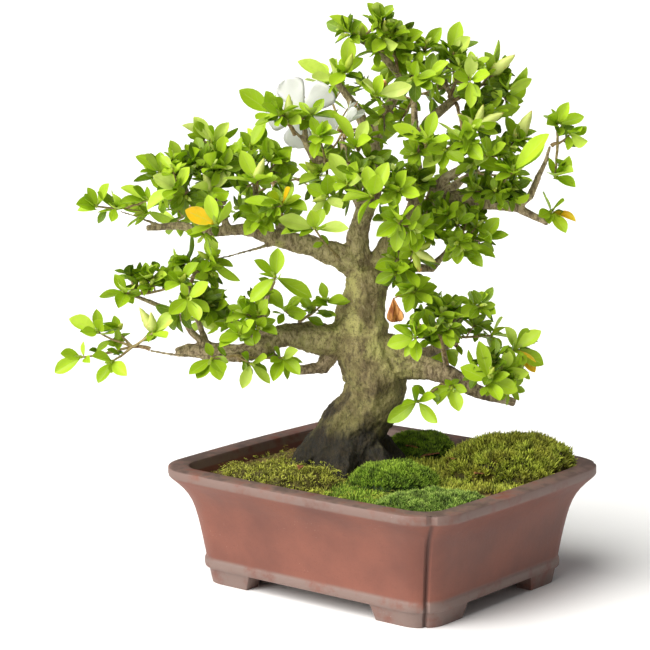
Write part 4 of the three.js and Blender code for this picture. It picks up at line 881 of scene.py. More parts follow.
parts.append(spray_tree.node("GeometryNodeSetMaterial", {
    "Geometry": tube, "Material": twig_bark.material}))
together = spray_tree.node("GeometryNodeJoinGeometry")
for part in parts:
    spray_tree.tree.links.new(part.socket, spray_tree.last.inputs[0])
spray_tree.feed(spray_tree.result.inputs[0], together)
print("spray tree has", len(spray_tree.tree.nodes), "nodes")

# %% [markdown]
# ## Where the whorls stand
# The table names each leafy spray, where it springs from the wood and its whorls. A whorl has the
# leaves and buds that the photograph shows: the angle at which each is seen, the length that is
# seen, and a turn about its own midrib. The same table grew the frame's plain leaves.

# %% Table of sprays
SPRAYS = {
    "left_tip": ((-166, -8, 240), [
        ((-179, -10, 243), [(165, 12), (130, 10), (60, 9)], []),
        ((-167, -14, 243), [(95, 11), (65, 10)], []),
        ((-148, -8, 239), [(165, 15), (-10, 16, 75), (-145, 14, 75)], [(-175, 8)]),
        ((-146, -20, 248), [(155, 19), (-175, 14), (130, 13)], []),
    ]),
    "left_crest": ((-115, -6, 233), [
        ((-139, -16, 265), [(145, 18), (125, 12), (20, 12)], []),
        ((-127, -4, 267), [(110, 18), (65, 12)], []),
        ((-127, -34, 257), [(150, 17), (60, 16), (-145, 23), (-150, 8)], []),
    ]),
    "left_top": ((-106, -6, 262), [
        ((-107, -2, 282), [(125, 20), (100, 12), (50, 17), (150, 22, 75), (30, 19, 75)], []),
        ((-102, -16, 274), [(75, 15), (30, 13)], []),
        ((-106, -28, 269), [(90, 11), (40, 11, 75)], []),
        ((-120, -14, 269), [(60, 13), (130, 11)], []),
    ]),
    "left_heart": ((-101, -6, 243), [
        ((-107, -28, 254), [(155, 12, 75), (5, 12, 75), (45, 12)], [(105, 15)]),
        ((-103, -42, 236), [(105, 19), (60, 17, 60), (-160, 19), (155, 21)], []),
    ]),
    "left_shoulder": ((-80, -13, 244), [
        ((-79, -38, 262), [(115, 21), (175, 20, 75), (25, 11)], [(70, 16)]),
        ((-83, -4, 279), [(60, 19), (-170, 9)], []),
        ((-66, -12, 271), [(115, 17), (50, 12, 75), (-15, 14, 75)], []),
    ]),
    "left_front": ((-76, -6, 224), [
        ((-63, -48, 249), [(175, 23), (-10, 16), (65, 13), (140, 11)], []),
        ((-78, -26, 242), [(-120, 16), (165, 12), (-50, 12)], []),
    ]),
    "waist_front": ((-34, 0, 212), [
        ((-43, -46, 234), [(-170, 21), (0, 21), (100, 13), (165, 23)], []),
    ]),
    "inner_left": ((-34, -8, 269), [
        ((-40, -24, 288), [(-105, 13), (-25, 8), (80, 11), (40, 10)], []),
        ((-40, -14, 263), [(125, 17), (-165, 13), (40, 11)], [(135, 13)]),
        ((-35, -32, 252), [(90, 15), (-125, 12), (-35, 10)], [(-165, 10)]),
    ]),
    "flower_branch": ((-58, -14, 292), [
        ((-69, -20, 302), [(145, 25), (160, 18, 60), (-165, 10), (105, 15)], []),
        ((-64, -28, 302), [(105, 12), (150, 13)], []),
    ]),
    "branch_fork": ((-50, -12, 292), [
        ((-45, -14, 300), [(60, 9), (-5, 19), (170, 11, 60), (120, 7)], []),
        ((-59, -18, 299), [(-15, 8)], [(90, 16)]),
    ]),
    "crown_left": ((-27, -4, 317), [
        ((-31, -16, 323), [(105, 13), (175, 14), (155, 25)], []),
        ((-24, -24, 328), [(85, 21), (-140, 12)], [(70, 12)]),
    ]),
    "apex": ((-13, -8, 344), [
        ((-13, -12, 346), [(145, 26), (110, 23), (145, 13)], [(95, 10)]),
        ((-3, -6, 358), [(40, 11), (100, 12, 75), (130, 8)], []),
    ]),
    "crown_mid": ((7, -6, 326), [
        ((0, -12, 346), [(-140, 10), (-10, 8, 75)], [(90, 13)]),
        ((10, -4, 343), [(80, 13), (15, 8, 75), (30, 13)], []),
        ((10, 0, 333), [(30, 9, 75), (-10, 9, 75)], [(120, 11)]),
    ]),
    "crown_front": ((2, -5, 301), [
        ((-6, -36, 314), [(15, 23), (130, 13), (-10, 21), (75, 14)], []),
    ]),
    "crown_back_right": ((17, 0, 318), [
        ((25, -2, 339), [(55, 18), (130, 14, 60), (95, 10)], [(85, 7)]),
        ((27, -16, 325), [(35, 15), (155, 16, 60), (-145, 10), (-35, 9)], []),
    ]),
    "crown_right": ((41, 4, 313), [
        ((41, 0, 336), [(75, 22), (45, 17), (125, 11)], []),
        ((52, -26, 323), [(90, 16), (165, 12), (20, 12), (-90, 17)], []),
    ]),
    "right_bud": ((48, -2, 306), [
        ((65, -10, 325), [(75, 23, 75), (105, 15)], [(40, 20)]),
        ((76, -6, 315), [(80, 11), (25, 17, 75), (50, 19, 75), (130, 9)], []),
    ]),
    "right_yellow": ((46, 0, 297), [
        ((62, -12, 301), [(55, 18), (10, 14), (10, 24, 75)], []),
        ((56, -26, 294), [(20, 12, 60)], [(145, 15), (75, 15), (30, 19)]),
        ((48, -42, 287), [(95, 14), (145, 20, 75), (-45, 15)], []),
    ]),
    "right_mid": ((25, 2, 271), [
        ((25, -44, 287), [(155, 23), (115, 12), (75, 19), (10, 14)], []),
        ((37, -28, 280), [(-145, 17), (175, 12), (-30, 12)], []),
    ]),
    "right_inner": ((56, -12, 270), [
        ((63, -28, 276), [(115, 13), (40, 14), (-155, 9)], []),
        ((81, -12, 283), [(110, 16), (65, 14), (160, 12, 60)], [(65, 23)]),
    ]),
    "right_big": ((64, -6, 247), [
        ((78, -30, 267), [(40, 26), (50, 37), (100, 13), (165, 25)], []),
        ((75, -16, 248), [(90, 9), (20, 8, 75)], []),
        ((62, -8, 251), [(50, 13), (25, 23, 75), (130, 12)], []),
    ]),
    "right_tip": ((103, -8, 278), [
        ((107, -8, 294), [(65, 16), (15, 17), (135, 10, 60), (170, 8)], []),
        ((115, -10, 288), [(35, 11, 75), (-15, 10, 75), (35, 6)], []),
        ((106, -12, 262), [(25, 11), (-25, 7), (60, 16, 60)], []),
    ]),
    "right_stub": ((101, -8, 234), [
        ((104, -10, 240), [(115, 15, 50), (50, 11), (-20, 16), (-55, 15), (-170, 9)], []),
    ]),
    "heart_left": ((-7, -2, 265), [
        ((-18, -30, 283), [(65, 17), (30, 11), (125, 24)], []),
        ((-23, -36, 260), [(120, 22), (70, 16), (-160, 12), (30, 10)], []),
    ]),
    "heart_front": ((-11, 2, 242), [
        ((-8, -48, 254),
         [(65, 23), (80, 22, 60), (165, 18, 50), (-170, 19, 75), (100, 19), (-115, 19, 75)], []),
    ]),
    "heart_mid": ((18, 6, 245), [
        ((8, -38, 257), [(70, 14), (-10, 13), (-110, 12), (-145, 14)], [(110, 2)]),
        ((25, -18, 259), [(55, 9), (-125, 8), (140, 20, 60)], []),
    ]),
    "heart_low": ((11, 5, 222), [
        ((8, -50, 239), [(115, 9), (-150, 16), (-95, 15), (50, 14), (155, 13)], []),
        ((21, -36, 232), [(40, 10), (-30, 9), (-100, 8)], []),
    ]),
    "yellow_low": ((13, 7, 202), [
        ((18, -36, 219), [(155, 14)], [(-25, 15), (25, 11), (-75, 13), (115, 8)]),
        ((13, -26, 207), [(180, 19), (-55, 13)], []),
        ((19, -18, 191), [(155, 14, 60), (175, 15, 75), (-30, 12), (45, 14)], []),
    ]),
    "right_low": ((39, -6, 213), [
        ((49, -16, 219), [(155, 20), (120, 13), (-45, 17), (-20, 22)], []),
        ((60, -14, 223), [(10, 18), (50, 18), (70, 11)], []),
        ((53, -8, 237), [(-10, 11), (135, 12), (50, 8)], []),
        ((39, -22, 240), [(165, 10), (-135, 7)], []),
    ]),
    "pad_left": ((38, -13, 145), [
        ((19, -38, 165), [(-165, 18), (150, 16), (100, 12), (50, 11), (-85, 13)], []),
        ((31, -26, 167), [(115, 17), (45, 18), (-25, 18)], []),
        ((37, -12, 179), [(100, 12), (150, 12)], []),
        ((57, -12, 181), [(120, 11), (50, 12), (-15, 13), (-150, 10)], []),
    ]),
    "pad_right": ((65, -12, 126), [
        ((83, -10, 153), [(115, 17), (35, 20), (-30, 21), (-50, 20)], []),
        ((74, -24, 141), [(75, 15), (5, 16, 60)], [(125, 15)]),
        ((65, -38, 138), [(155, 20), (105, 26), (-60, 11), (-20, 19)], [(75, 10)]),
    ]),
    "pad_under": ((40, -6, 133), [
        ((43, -22, 131), [(-75, 14), (-135, 14)], []),
        ((21, -34, 124), [(-145, 23), (110, 12), (25, 12), (-45, 17, 50)], []),
    ]),
    "cloud_top": ((-122, 0, 189), [
        ((-109, -18, 211), [(80, 14), (-15, 16), (-30, 19, 75), (-35, 24, 75)], [(140, 9), (25, 8)]),
        ((-122, -12, 208), [(135, 10, 50), (85, 15, 75), (180, 9)], []),
    ]),
    "cloud_left": ((-147, -16, 185), [
        ((-147, -16, 197), [(110, 6), (25, 14)], [(180, 5)]),
        ((-126, -26, 197), [(-165, 9), (130, 11), (50, 11)], [(65, 8)]),
        ((-161, -18, 190), [(110, 9), (-175, 16, 75), (-115, 8), (40, 8)], []),
    ]),
    "cloud_mid": ((-119, -2, 178), [
        ((-121, -34, 189), [(-145, 14), (-60, 14), (40, 8)], []),
        ((-109, -14, 180), [(20, 13), (-20, 14), (-50, 12), (-10, 18, 75)], []),
    ]),
    "low_tip": ((-158, -22, 158), [
        ((-143, -30, 167), [(-5, 9), (40, 13)], [(95, 14), (120, 17)]),
        ((-178, -24, 166), [(155, 20), (165, 9), (70, 11, 75)], []),
        ((-167, -12, 165), [(130, 10, 60), (165, 8)], [(55, 7)]),
        ((-189, -18, 149), [(-150, 20), (160, 13)], []),
        ((-169, -26, 148), [(-125, 15), (155, 13), (-35, 12)], []),
    ]),
    "low_under": ((-90, -14, 149), [
        ((-107, -28, 150), [(-150, 16), (-130, 11), (-65, 13), (-40, 10)], []),
        ((-83, -24, 146), [(-110, 15), (-45, 17), (30, 12)], []),
        ((-63, -20, 149), [(-115, 14), (-40, 14), (35, 12)], []),
    ]),
    "low_mid": ((-76, -14, 168), [
        ((-89, -32, 166), [(135, 11), (50, 14), (-170, 10), (-155, 14)], []),
        ((-78, -24, 177), [(140, 16), (30, 6)], []),
    ]),
    "low_front": ((-71, -20, 192), [
        ((-67, -44, 204), [(85, 18), (140, 17), (-135, 22), (-30, 26)], []),
    ]),
    "low_inner": ((-52, -2, 166), [
        ((-62, -14, 178), [(55, 9), (130, 13), (0, 14, 60)], []),
        ((-44, -4, 176), [(175, 13, 60)], [(90, 8)]),
        ((-36, -8, 183), [(135, 7), (15, 8), (170, 6)], []),
    ]),
}
BACK_SPRAYS = {
    "back_left_tip": ((-122, 32, 236), (-126, 40, 238), 22, 15),
    "back_left": ((-70, 34, 248), (-72, 44, 254), 25, 20),
    "back_crown": ((-26, 36, 280), (-26, 44, 290), 26, 24),
    "back_apex": ((20, 38, 306), (22, 44, 314), 26, 22),
    "back_right": ((56, 36, 258), (60, 46, 262), 26, 22),
    "back_low_left": ((-100, 28, 170), (-106, 36, 176), 28, 16),
    "back_pad": ((48, 38, 148), (54, 46, 152), 24, 15),
}
print(len(SPRAYS) + len(BACK_SPRAYS), "sprays")

# %% [markdown]
# A leaf's place in depth isn't in the table. The frame's leaves were swung and twisted until they
# touched nothing, so each leaf here tries the same turns and takes the one whose tip is among the
# corners of the frame's spray. Random draws come from a small seeded generator, so that every run
# grows the same tree.

# %% Seeded draws
WORD = 0xFFFFFFFF
SEED_STEP = 0x6D2B79F5


def seeded(seed):
    state = seed & WORD

    def draw():
        nonlocal state
        state = (state + SEED_STEP) & WORD
        t = ((state ^ (state >> 15)) * (state | 1)) & WORD
        t = ((t + (((t ^ (t >> 7)) * (t | 61)) & WORD)) & WORD) ^ t
        return (t ^ (t >> 14)) / (WORD + 1)
    return draw


# %% One leaf or bud
LEAF_LENGTH = 17.5
LEAF_WIDTH = 0.49
SMALL_LEAF = 14
LONG_LEAF = 20
BUD_RADIUS = 0.3
BLADE_HALF = 0.32
FRAME_LEAVES = 3
FULL_SHOOTS = 2
LEAF_TRIES = [(0, 0), (0, 30), (0, -30), (16, 0), (-16, 0), (28, 20), (-28, -20), (42, 0), (55, 20),
              (-45, 0)]
LEAF_KINDS = len(LEAF_BENDS)
FULL_BUD = 14
TIP_SLACK = 0.06


def square_to(along, way):
    """The part of a direction that is square to another, with a length of 1."""
    return (way - along * way.dot(along)).normalized()


def upper_side(along, outward, roll):
    """Which way the upper side of a leaf looks: up and outwards, turned about its midrib."""
    face = square_to(along, Vector((0, 0.75 * outward, 0.66)))
    face.rotate(Quaternion(along, math.radians(roll)))
    return face


def growth(angle, seen, full, outward, lean, swing, twist):
    """The direction, length and upper side of a leaf or bud."""
    a = math.radians(angle)
    depth = math.sqrt(max(full * full - seen * seen, 0)) * outward
    along = Vector((seen * math.cos(a), depth, seen * math.sin(a)))
    along.rotate(Quaternion((-math.sin(a), 0, math.cos(a)), math.radians(swing)))
    return along.normalized(), along.length, upper_side(along.normalized(), outward, lean + twist)


def fitted(root, corners, is_bud, *wish):
    """The growth that the frame holds, and whether it was found there."""
    for swing, twist in LEAF_TRIES:
        along, length, face = growth(*wish, swing, twist)
        tip = root + along * length
        tips = [tip] if is_bud else [tip + face * BLADE_HALF, tip - face * BLADE_HALF]
        if all(corners.find(p)[2] < TIP_SLACK for p in tips):
            return (along, length, face), True
    return growth(*wish, 0, 0), False


# %% A skeleton of twigs and leaves
class Skeleton:
    """Lines for the twigs and loose points for leaves and buds, in the tree's own millimetres."""

    def __init__(self):
        self.points, self.lines, self.notes = [], [], []

    def twig(self, path, radii, tint=0.2):
        start = len(self.points)
        for point, radius in zip(path, radii):
            self.points.append(on_tree(*point))
            self.notes.append((-1, (0, 0, 0), (0, 0, 0), radius * MM, tint))
        self.lines += [(start + i, start + i + 1) for i in range(len(path) - 1)]

    def grow(self, kind, root, along, face, length, width, tint):
        side = face.cross(along).normalized()
        frame_turn = TREE_TURN @ Matrix((along, side, face)).transposed()
        self.points.append(on_tree(*root))
        size = (length * MM, width * MM, width * MM)
        self.notes.append((kind, tuple(frame_turn.to_euler()), size, 0, tint))

    def piece(self, name):
        mesh = bpy.data.meshes.new(name)
        mesh.from_pydata(self.points, self.lines, [])
        layers = (("kind", "INT", "value"), ("turn", "FLOAT_VECTOR", "vector"),
                  ("size", "FLOAT_VECTOR", "vector"), ("twig_radius", "FLOAT", "value"),
                  ("tint", "FLOAT", "value"))
        for number, (title, kind, field) in enumerate(layers):
            layer = mesh.attributes.new(title, kind, "POINT")
            layer.data.foreach_set(field, np.ravel([note[number] for note in self.notes]))
        made = bpy.data.objects.new(name, mesh)
        bpy.context.scene.collection.objects.link(made)
        return made


def bowed(start, middle, end, draw, sway=0.6, steps=5):
    """A twig's path: a curve through three points with a little knee at each leaf scar."""
    path = []
    for i in range(steps + 1):
        t = i / steps
        point = start * (1 - t) ** 2 + middle * 2 * t * (1 - t) + end * t * t
        if 0 < i < steps:
            point = point + Vector((draw() - 0.5, draw() - 0.5, draw() - 0.5)) * sway
        path.append(point)
    return path

# %% [markdown]
# ## What the table leaves out
# The table has the leaves that stand out in the photograph. A real whorl has more: smaller leaves
# between them, two pale young ones round the bud in its middle, and older ones down the twig. They
# are drawn by rule, spread by the golden angle, and kept clear of the leaves of the table.

# %% Filling a whorl
GOLDEN = math.radians(137.5)
UP = Vector((0, 0, 1))
YOUNG_LEAVES = 2
SIDE_LEAVES = 9
LEAF_GAP = math.radians(30)


def tilted(axis, opening, azimuth):
    side = axis.cross(UP if abs(axis.z) < 0.9 else Vector((1, 0, 0))).normalized()
    side.rotate(Quaternion(axis, azimuth))
    return (axis * math.cos(opening) + side * math.sin(opening)).normalized()


def add_leaf(skeleton, draw, root, along, face, length, tint, width=LEAF_WIDTH):
    kind = int(draw() * LEAF_KINDS) + LEAF_KINDS * (length < SMALL_LEAF)
    width = width * min(1, (LONG_LEAF / length) ** 0.7)
    skeleton.grow(kind, root, along, face, length, length * width * mix(0.86, 1.14, draw()), tint)


def fill_whorl(skeleton, draw, root, axis, taken, count, size, tint):
    """Leaves round an axis, wherever no other leaf is near, with young ones and a bud inside."""
    for i in range(count):
        opening = math.radians(mix(36, 92, draw()))
        along = tilted(axis, opening, i * GOLDEN + draw())
        if any(along.angle(other) < LEAF_GAP for other in taken):
            continue
        taken.append(along)
        face = square_to(along, axis + UP * 0.5)
        face.rotate(Quaternion(along, math.radians(60 * (draw() - 0.5))))
        length = size * mix(0.68, 1.06, draw())
        seat = root - axis * 3.5 * draw()
        add_leaf(skeleton, draw, seat, along, face, length, tint + 0.3 * (draw() - 0.5))
    for i in range(YOUNG_LEAVES):
        along = tilted(axis, math.radians(mix(8, 28, draw())), i * 2.6 + draw())
        face = square_to(along, axis)
        add_leaf(skeleton, draw, root, along, face, size * mix(0.3, 0.5, draw()), 0.86, 0.4)
    bud_length = mix(3.5, 5.5, draw())
    skeleton.grow(BUD_KIND, root - axis, axis, tilted(axis, math.pi / 2, 0), bud_length, 1.2, 0.3)


def side_whorl(skeleton, draw, path, share):
    """A smaller whorl on a side twig that parts from a path."""
    root = path[int(share * (len(path) - 1))]
    way = (path[-1] - path[0]).normalized()
    axis = tilted(way, math.radians(mix(40, 85, draw())), draw() * math.tau)
    axis = (axis + UP * 0.3).normalized()
    end = root + axis * mix(7, 14, draw())
    bend = root.lerp(end, 0.5) + UP * 0.8
    skeleton.twig(bowed(root, bend, end, draw, 0.3, 3), np.linspace(0.62, 0.42, 4), 0.4)
    fill_whorl(skeleton, draw, end, axis, [-axis], SIDE_LEAVES, LEAF_LENGTH * mix(0.68, 0.95, draw()),
               mix(0.12, 0.56, draw()))


# %% Growing one spray
FORK_RADIUS = 2.6
FORK_SLACK = 0.02
STEM, TWIG, TWIG_END = 1.5, 0.95, 0.6
TWIG_SAG = 0.05
BACK_DEPTH = 6
CROWN_HEIGHT = 250
SHORTEST_LEAF, LEAF_SPREAD = 0.94, 0.16
SHORTEST_BUD = 9
THINNEST_BUD = 2.2
BUD_SLENDER = 0.62
FILL_LEAVES, SPARSE_LEAVES = 9, 4
SIDE_SHOOTS, DENSE_SHOOTS = (0.35, 0.75), (0.3, 0.55, 0.8)
OLD_LEAVES = (0.45, 0.72)
OLD_LEAF_LEAN = math.radians(62)
SPRAY_SEED, BACK_SEED = 5000, 700
BACK_SHOOTS = 3
BACK_SEEN = 13
SPARSE = {"low_under", "pad_under", "left_tip", "low_tip", "right_stub", "low_front", "waist_front",
          "right_tip", "low_inner"}
AIRY = {"flower_branch", "branch_fork", "inner_left", "crown_left"}
DENSE = ("crown_front", "crown_right", "right", "heart", "pad", "left")
YELLOW = {("left_front", 0, 2), ("right_stub", 0, 2), ("pad_right", 0, 3), ("left_heart", 1, 3)}
wood_points = [vertex.co.copy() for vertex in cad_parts["trunk_and_branches"].data.vertices]


def from_frame(point):
    return TREE_TURN.transposed() @ (point - pot_middle) / MM


def kd_of(points):
    found = KDTree(len(points))
    for i, point in enumerate(points):
        found.insert(point, i)
    found.balance()
    return found


wood_near = kd_of([from_frame(p) for p in wood_points])


def on_wood(place, count):
    """The middle of the corners of the frame's wood that lie nearest to a place."""
    hits = wood_near.find_n(Vector(place), count)
    return sum((hit[0] for hit in hits), Vector()) / len(hits)


def fork_of(corners):
    """The middle of the knot where twigs part: the frame's knot has corners on opposite sides."""
    array = np.array(corners)
    gaps = np.linalg.norm(array[:, None] - array[None], axis=2)
    pairs = np.argwhere(np.abs(gaps - 2 * FORK_RADIUS) < FORK_SLACK)
    best, most = None, 0
    for i, j in pairs[pairs[:, 0] < pairs[:, 1]]:
        middle = (array[i] + array[j]) / 2
        radii = np.linalg.norm(array - middle, axis=1)
        count = (np.abs(radii - FORK_RADIUS) < FORK_SLACK).sum()
        if count > most:
            best, most = Vector(middle), count
    return best


def back_shoots(hub, wide, high, seed):
    draw = seeded(seed)
    shoots = []
    for i in range(BACK_SHOOTS):
        angle = i / BACK_SHOOTS * 360 + 30 * (draw() - 0.5)
        out = 0.75 + 0.35 * draw()
        at = (hub[0] + wide * out * math.cos(math.radians(angle)), hub[1] + 16 * draw() - 4,
              hub[2] + high * out * math.sin(math.radians(angle)))
        shoots.append((at, [(angle + step, BACK_SEEN) for step in (-75, -10, 60)], []))
    return shoots


def grow_spray(name, origin, shoots, index):
    node = "spray_" + name
    corners = [from_frame(v.co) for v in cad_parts[node].data.vertices]
    near = kd_of(corners)
    skeleton = Skeleton()
    draw = seeded(SPRAY_SEED + index)
    ends = [Vector(at) for at, leaves, buds in shoots]
    middle = sum(ends, Vector()) / len(ends)
    start = on_wood(origin, 5)
    fork = fork_of(corners) if len(ends) > 1 else start.lerp(ends[0], 0.5)
    fork = fork or start.lerp(middle, 0.6)
    if len(ends) > 1:
        path = bowed(start, start.lerp(fork, 0.5) + Vector((0, 0, 1.5)), fork, draw)
        skeleton.twig(path, np.linspace(STEM, TWIG, len(path)))
    tally = [0, 0]
    for number, ((at, leaves, buds), end) in enumerate(zip(shoots, ends)):
        outward = 1 if at[1] > BACK_DEPTH else -1
        taken = []
        base = fork if len(ends) > 1 else start
        sag = UP * (-TWIG_SAG * (end - base).length)
        path = bowed(base, base.lerp(end, 0.5) + sag, end, draw)
        skeleton.twig(path, np.linspace(TWIG, TWIG_END, len(path)), 0.5)
        for angle, seen in buds:
            full = max(seen, SHORTEST_BUD) + 1
            (along, length, face), found = fitted(end, near, True, angle, seen, full, outward, 0)
            tally[found] += 1
            fat = seen >= FULL_BUD
            width = max(BUD_RADIUS * length, THINNEST_BUD) * BUD_SLENDER
            skeleton.grow(BUD_KIND + fat, end, along, face, length, width, 0.75 if fat else 0.4)
            taken.append(along)
        in_frame = FRAME_LEAVES if number < FULL_SHOOTS else FRAME_LEAVES - 1
        for place, (angle, seen, *roll) in enumerate(leaves):
            random = seeded(index * 101 + number * 13 + place + 1)
            full = max(seen, LEAF_LENGTH * (SHORTEST_LEAF + LEAF_SPREAD * random()))
            lean = (roll[0] if roll else 0) + 44 * (random() - 0.5)
            grown, found = fitted(end, near, False, angle, seen, full, outward, lean)
            if place < in_frame:
                tally[found] += 1
            along, length, face = grown
            tint = 0.6 + 0.46 * (draw() - 0.5) + 0.06 * (end.z > CROWN_HEIGHT)
            if (name, number, place) in YELLOW:
                tint = 1.0
            add_leaf(skeleton, draw, end, along, face, length, tint)
            taken.append(along)
        axis = sum(taken, Vector()).normalized() + UP * 0.45 + Vector((0, 0.15 * outward, 0))
        axis.normalize()
        sparse = name in SPARSE
        fill_whorl(skeleton, draw, end, axis, taken, SPARSE_LEAVES if sparse else FILL_LEAVES,
                   LEAF_LENGTH * 0.86, 0.5)
        shares = DENSE_SHOOTS if name.startswith(DENSE) else SIDE_SHOOTS
        for share in () if sparse or name in AIRY else shares:
            side_whorl(skeleton, draw, path, share)
        for share in OLD_LEAVES:
            root = path[int(share * (len(path) - 1))]
            way = (end - base).normalized()
            along = tilted(way, OLD_LEAF_LEAN, draw() * math.tau)
            face = upper_side(along, outward, 40 * (draw() - 0.5))
            add_leaf(skeleton, draw, root, along, face, mix(8, 12.5, draw()), 0.2 + 0.2 * draw())
    piece = skeleton.piece(name)
    run_tree(piece, spray_tree, **{"Leaf kinds": leaf_kinds, "Bud kinds": bud_kinds, "Twig sides": 6})
    settle(piece)
    smooth(piece.data)
    finished(piece, "leaf", node)
    return tally


found = np.zeros(2, int)
for index, (name, (origin, shoots)) in enumerate(SPRAYS.items()):
    found += grow_spray(name, origin, shoots, index)
for number, (name, (origin, hub, wide, high)) in enumerate(BACK_SPRAYS.items()):
    found += grow_spray(name, origin, back_shoots(hub, wide, high, BACK_SEED + number),
                        len(SPRAYS) + number)
print("leaves and buds that the frame holds:", found[1], "and that it dropped:", found[0])

# %% [markdown]
# ## The white flowers
# An azalea flower is a short green cup with five broad petals that fold back and ruffle at the edge,
# a spray of thin stamens and one longer style. The petals are thin closed shells on a formula: an
# outline, a ripple that grows towards the edge, and a fold along the middle.

# %% Flower finishes
petal_white = Finish("white_petal")
along, across = petal_white.grain()
across = (across - 0.5).size() * 2
veins = ((across * 9 + along * 1.5) * math.tau).sin()
vein = petal_white.band(veins, 0.7, 1.0) * 0.16
throat = 1 - petal_white.band(along, 0.05, 0.42)
tone = petal_white.mix(throat * 0.5, paint(253, 253, 252), paint(226, 236, 186))
tone = petal_white.mix(vein, tone, paint(222, 228, 214))
petal_white.set(Base_Color=tone, Roughness=0.5)
petal_white.bump(vein, 0.3, 0.2)
petal_white.let_through(tone, share=0.62)

calyx_green = Finish("calyx")
streak = calyx_green.noise(calyx_green.place, 300, 3)
tone = calyx_green.mix(calyx_green.band(streak, 0.4, 0.65), paint(150, 176, 70), paint(150, 96, 62))
calyx_green.set(Base_Color=tone, Roughness=0.55)
calyx_green.bump(streak, 0.3, 0.3)

# %% Petals, stamens and cup
# Each row: where the stalk starts, where the cup sits, the direction, the spread and the first turn
# in degrees, and the length and width of a petal.
BLOOMS = {
    "bloom_open": ((-50, -12, 294), (-51, -3, 299), (0.05, 0.98, 0.15), 76, 28, 24, 18),
    "bloom_half": ((-16, -2, 292), (-28, -19, 291), (0.6, -0.2, 0.77), 20, 0, 17, 5.6),
}
PETALS, STAMENS, SEPALS = 5, 8, 5
PETAL_SEED, STAMEN_SEED, SEPAL_SEED = 60, 80, 90
CALYX_LENGTH = 5
PETAL_ROWS = [0, 0.06, 0.16, 0.28, 0.4, 0.52, 0.63, 0.73, 0.82, 0.9, 0.96, 1.0]
PETAL_HALF = [0.05, 0.08, 0.15, 0.22, 0.31, 0.39, 0.45, 0.49, 0.49, 0.42, 0.29, 0.1]
PETAL_COLUMNS = np.linspace(-1, 1, 9)
PETAL_SHELL = 0.16


def petal_shell(root, along, face, length, width, seed):
    """Both sides of one petal, as points in the tree's millimetres, grain and faces."""
    draw = seeded(seed)
    phase = draw() * math.tau
    across = along.cross(face)
    points, grain, faces = [], [], []
    for level in (1, -1):
        for t, half in zip(PETAL_ROWS, PETAL_HALF):
            for s in PETAL_COLUMNS:
                ruffle = 0.07 * t * abs(s) ** 1.5 * math.sin(3.1 * math.tau * t * 0.6 + 4 * s + phase)
                curl = -0.16 * t ** 3 - 0.05 * (1 - abs(s)) + 0.16 * t
                inner = PETAL_SHELL * level * (1 - abs(s) ** 4)
                points.append(root + along * (t * length) + across * (s * half * width)
                              + face * ((ruffle + curl) * width + inner))
                grain.append((t, 0.5 + s / 2))
    columns, rows = len(PETAL_COLUMNS), len(PETAL_ROWS)
    layer = columns * rows
    for j in range(rows - 1):
        for i in range(columns - 1):
            a = j * columns + i
            faces.append((a, a + columns, a + columns + 1, a + 1))
            b = a + layer
            faces.append((b, b + 1, b + columns + 1, b + columns))
    for i in range(columns - 1):
        a = (rows - 1) * columns + i
        faces.append((i, i + 1, i + 1 + layer, i + layer))
        faces.append((a + layer, a + layer + 1, a + 1, a))
    return points, grain, faces


def tube_of(path, radii, sides=6):
    """A closed tube along a path of vectors."""
    rings = []
    side = Vector((1, 0, 0))
    for i, (point, radius) in enumerate(zip(path, radii)):
        way = (path[min(i + 1, len(path) - 1)] - path[max(i - 1, 0)]).normalized()
        side = square_to(way, side)
        other = way.cross(side)
        rings.append([point + (side * math.cos(a) + other * math.sin(a)) * radius
                      for a in np.linspace(0, math.tau, sides, endpoint=False)])
    return skin(rings)


class Assembly:
    """Several shells that make one piece, each with its own finish and grain."""

    def __init__(self):
        self.points, self.grain, self.faces, self.finishes = [], [], [], []

    def add(self, points, faces, finish, grain=None):
        start = len(self.points)
        self.points += [on_tree(*p) for p in points]
        self.grain += grain or [(0.5, 0.5)] * len(points)
        self.faces += [tuple(start + k for k in face) for face in faces]
        self.finishes += [finish] * len(faces)

    def tube(self, finish, *shape):
        self.add(*tube_of(*shape), finish)

    def petal(self, finish, *shape):
        points, grain, faces = petal_shell(*shape)
        self.add(points, faces, finish, grain)

    def piece(self, name, *finishes):
        made = piece_of(name, self.points, self.faces, *(f.material for f in finishes))
        made.data.polygons.foreach_set("material_index", self.finishes)
        layer = made.data.uv_layers.new(name="grain")
        for loop in made.data.loops:
            layer.data[loop.index].uv = self.grain[loop.vertex_index]
        mend(made.data, 0.01)
        return made


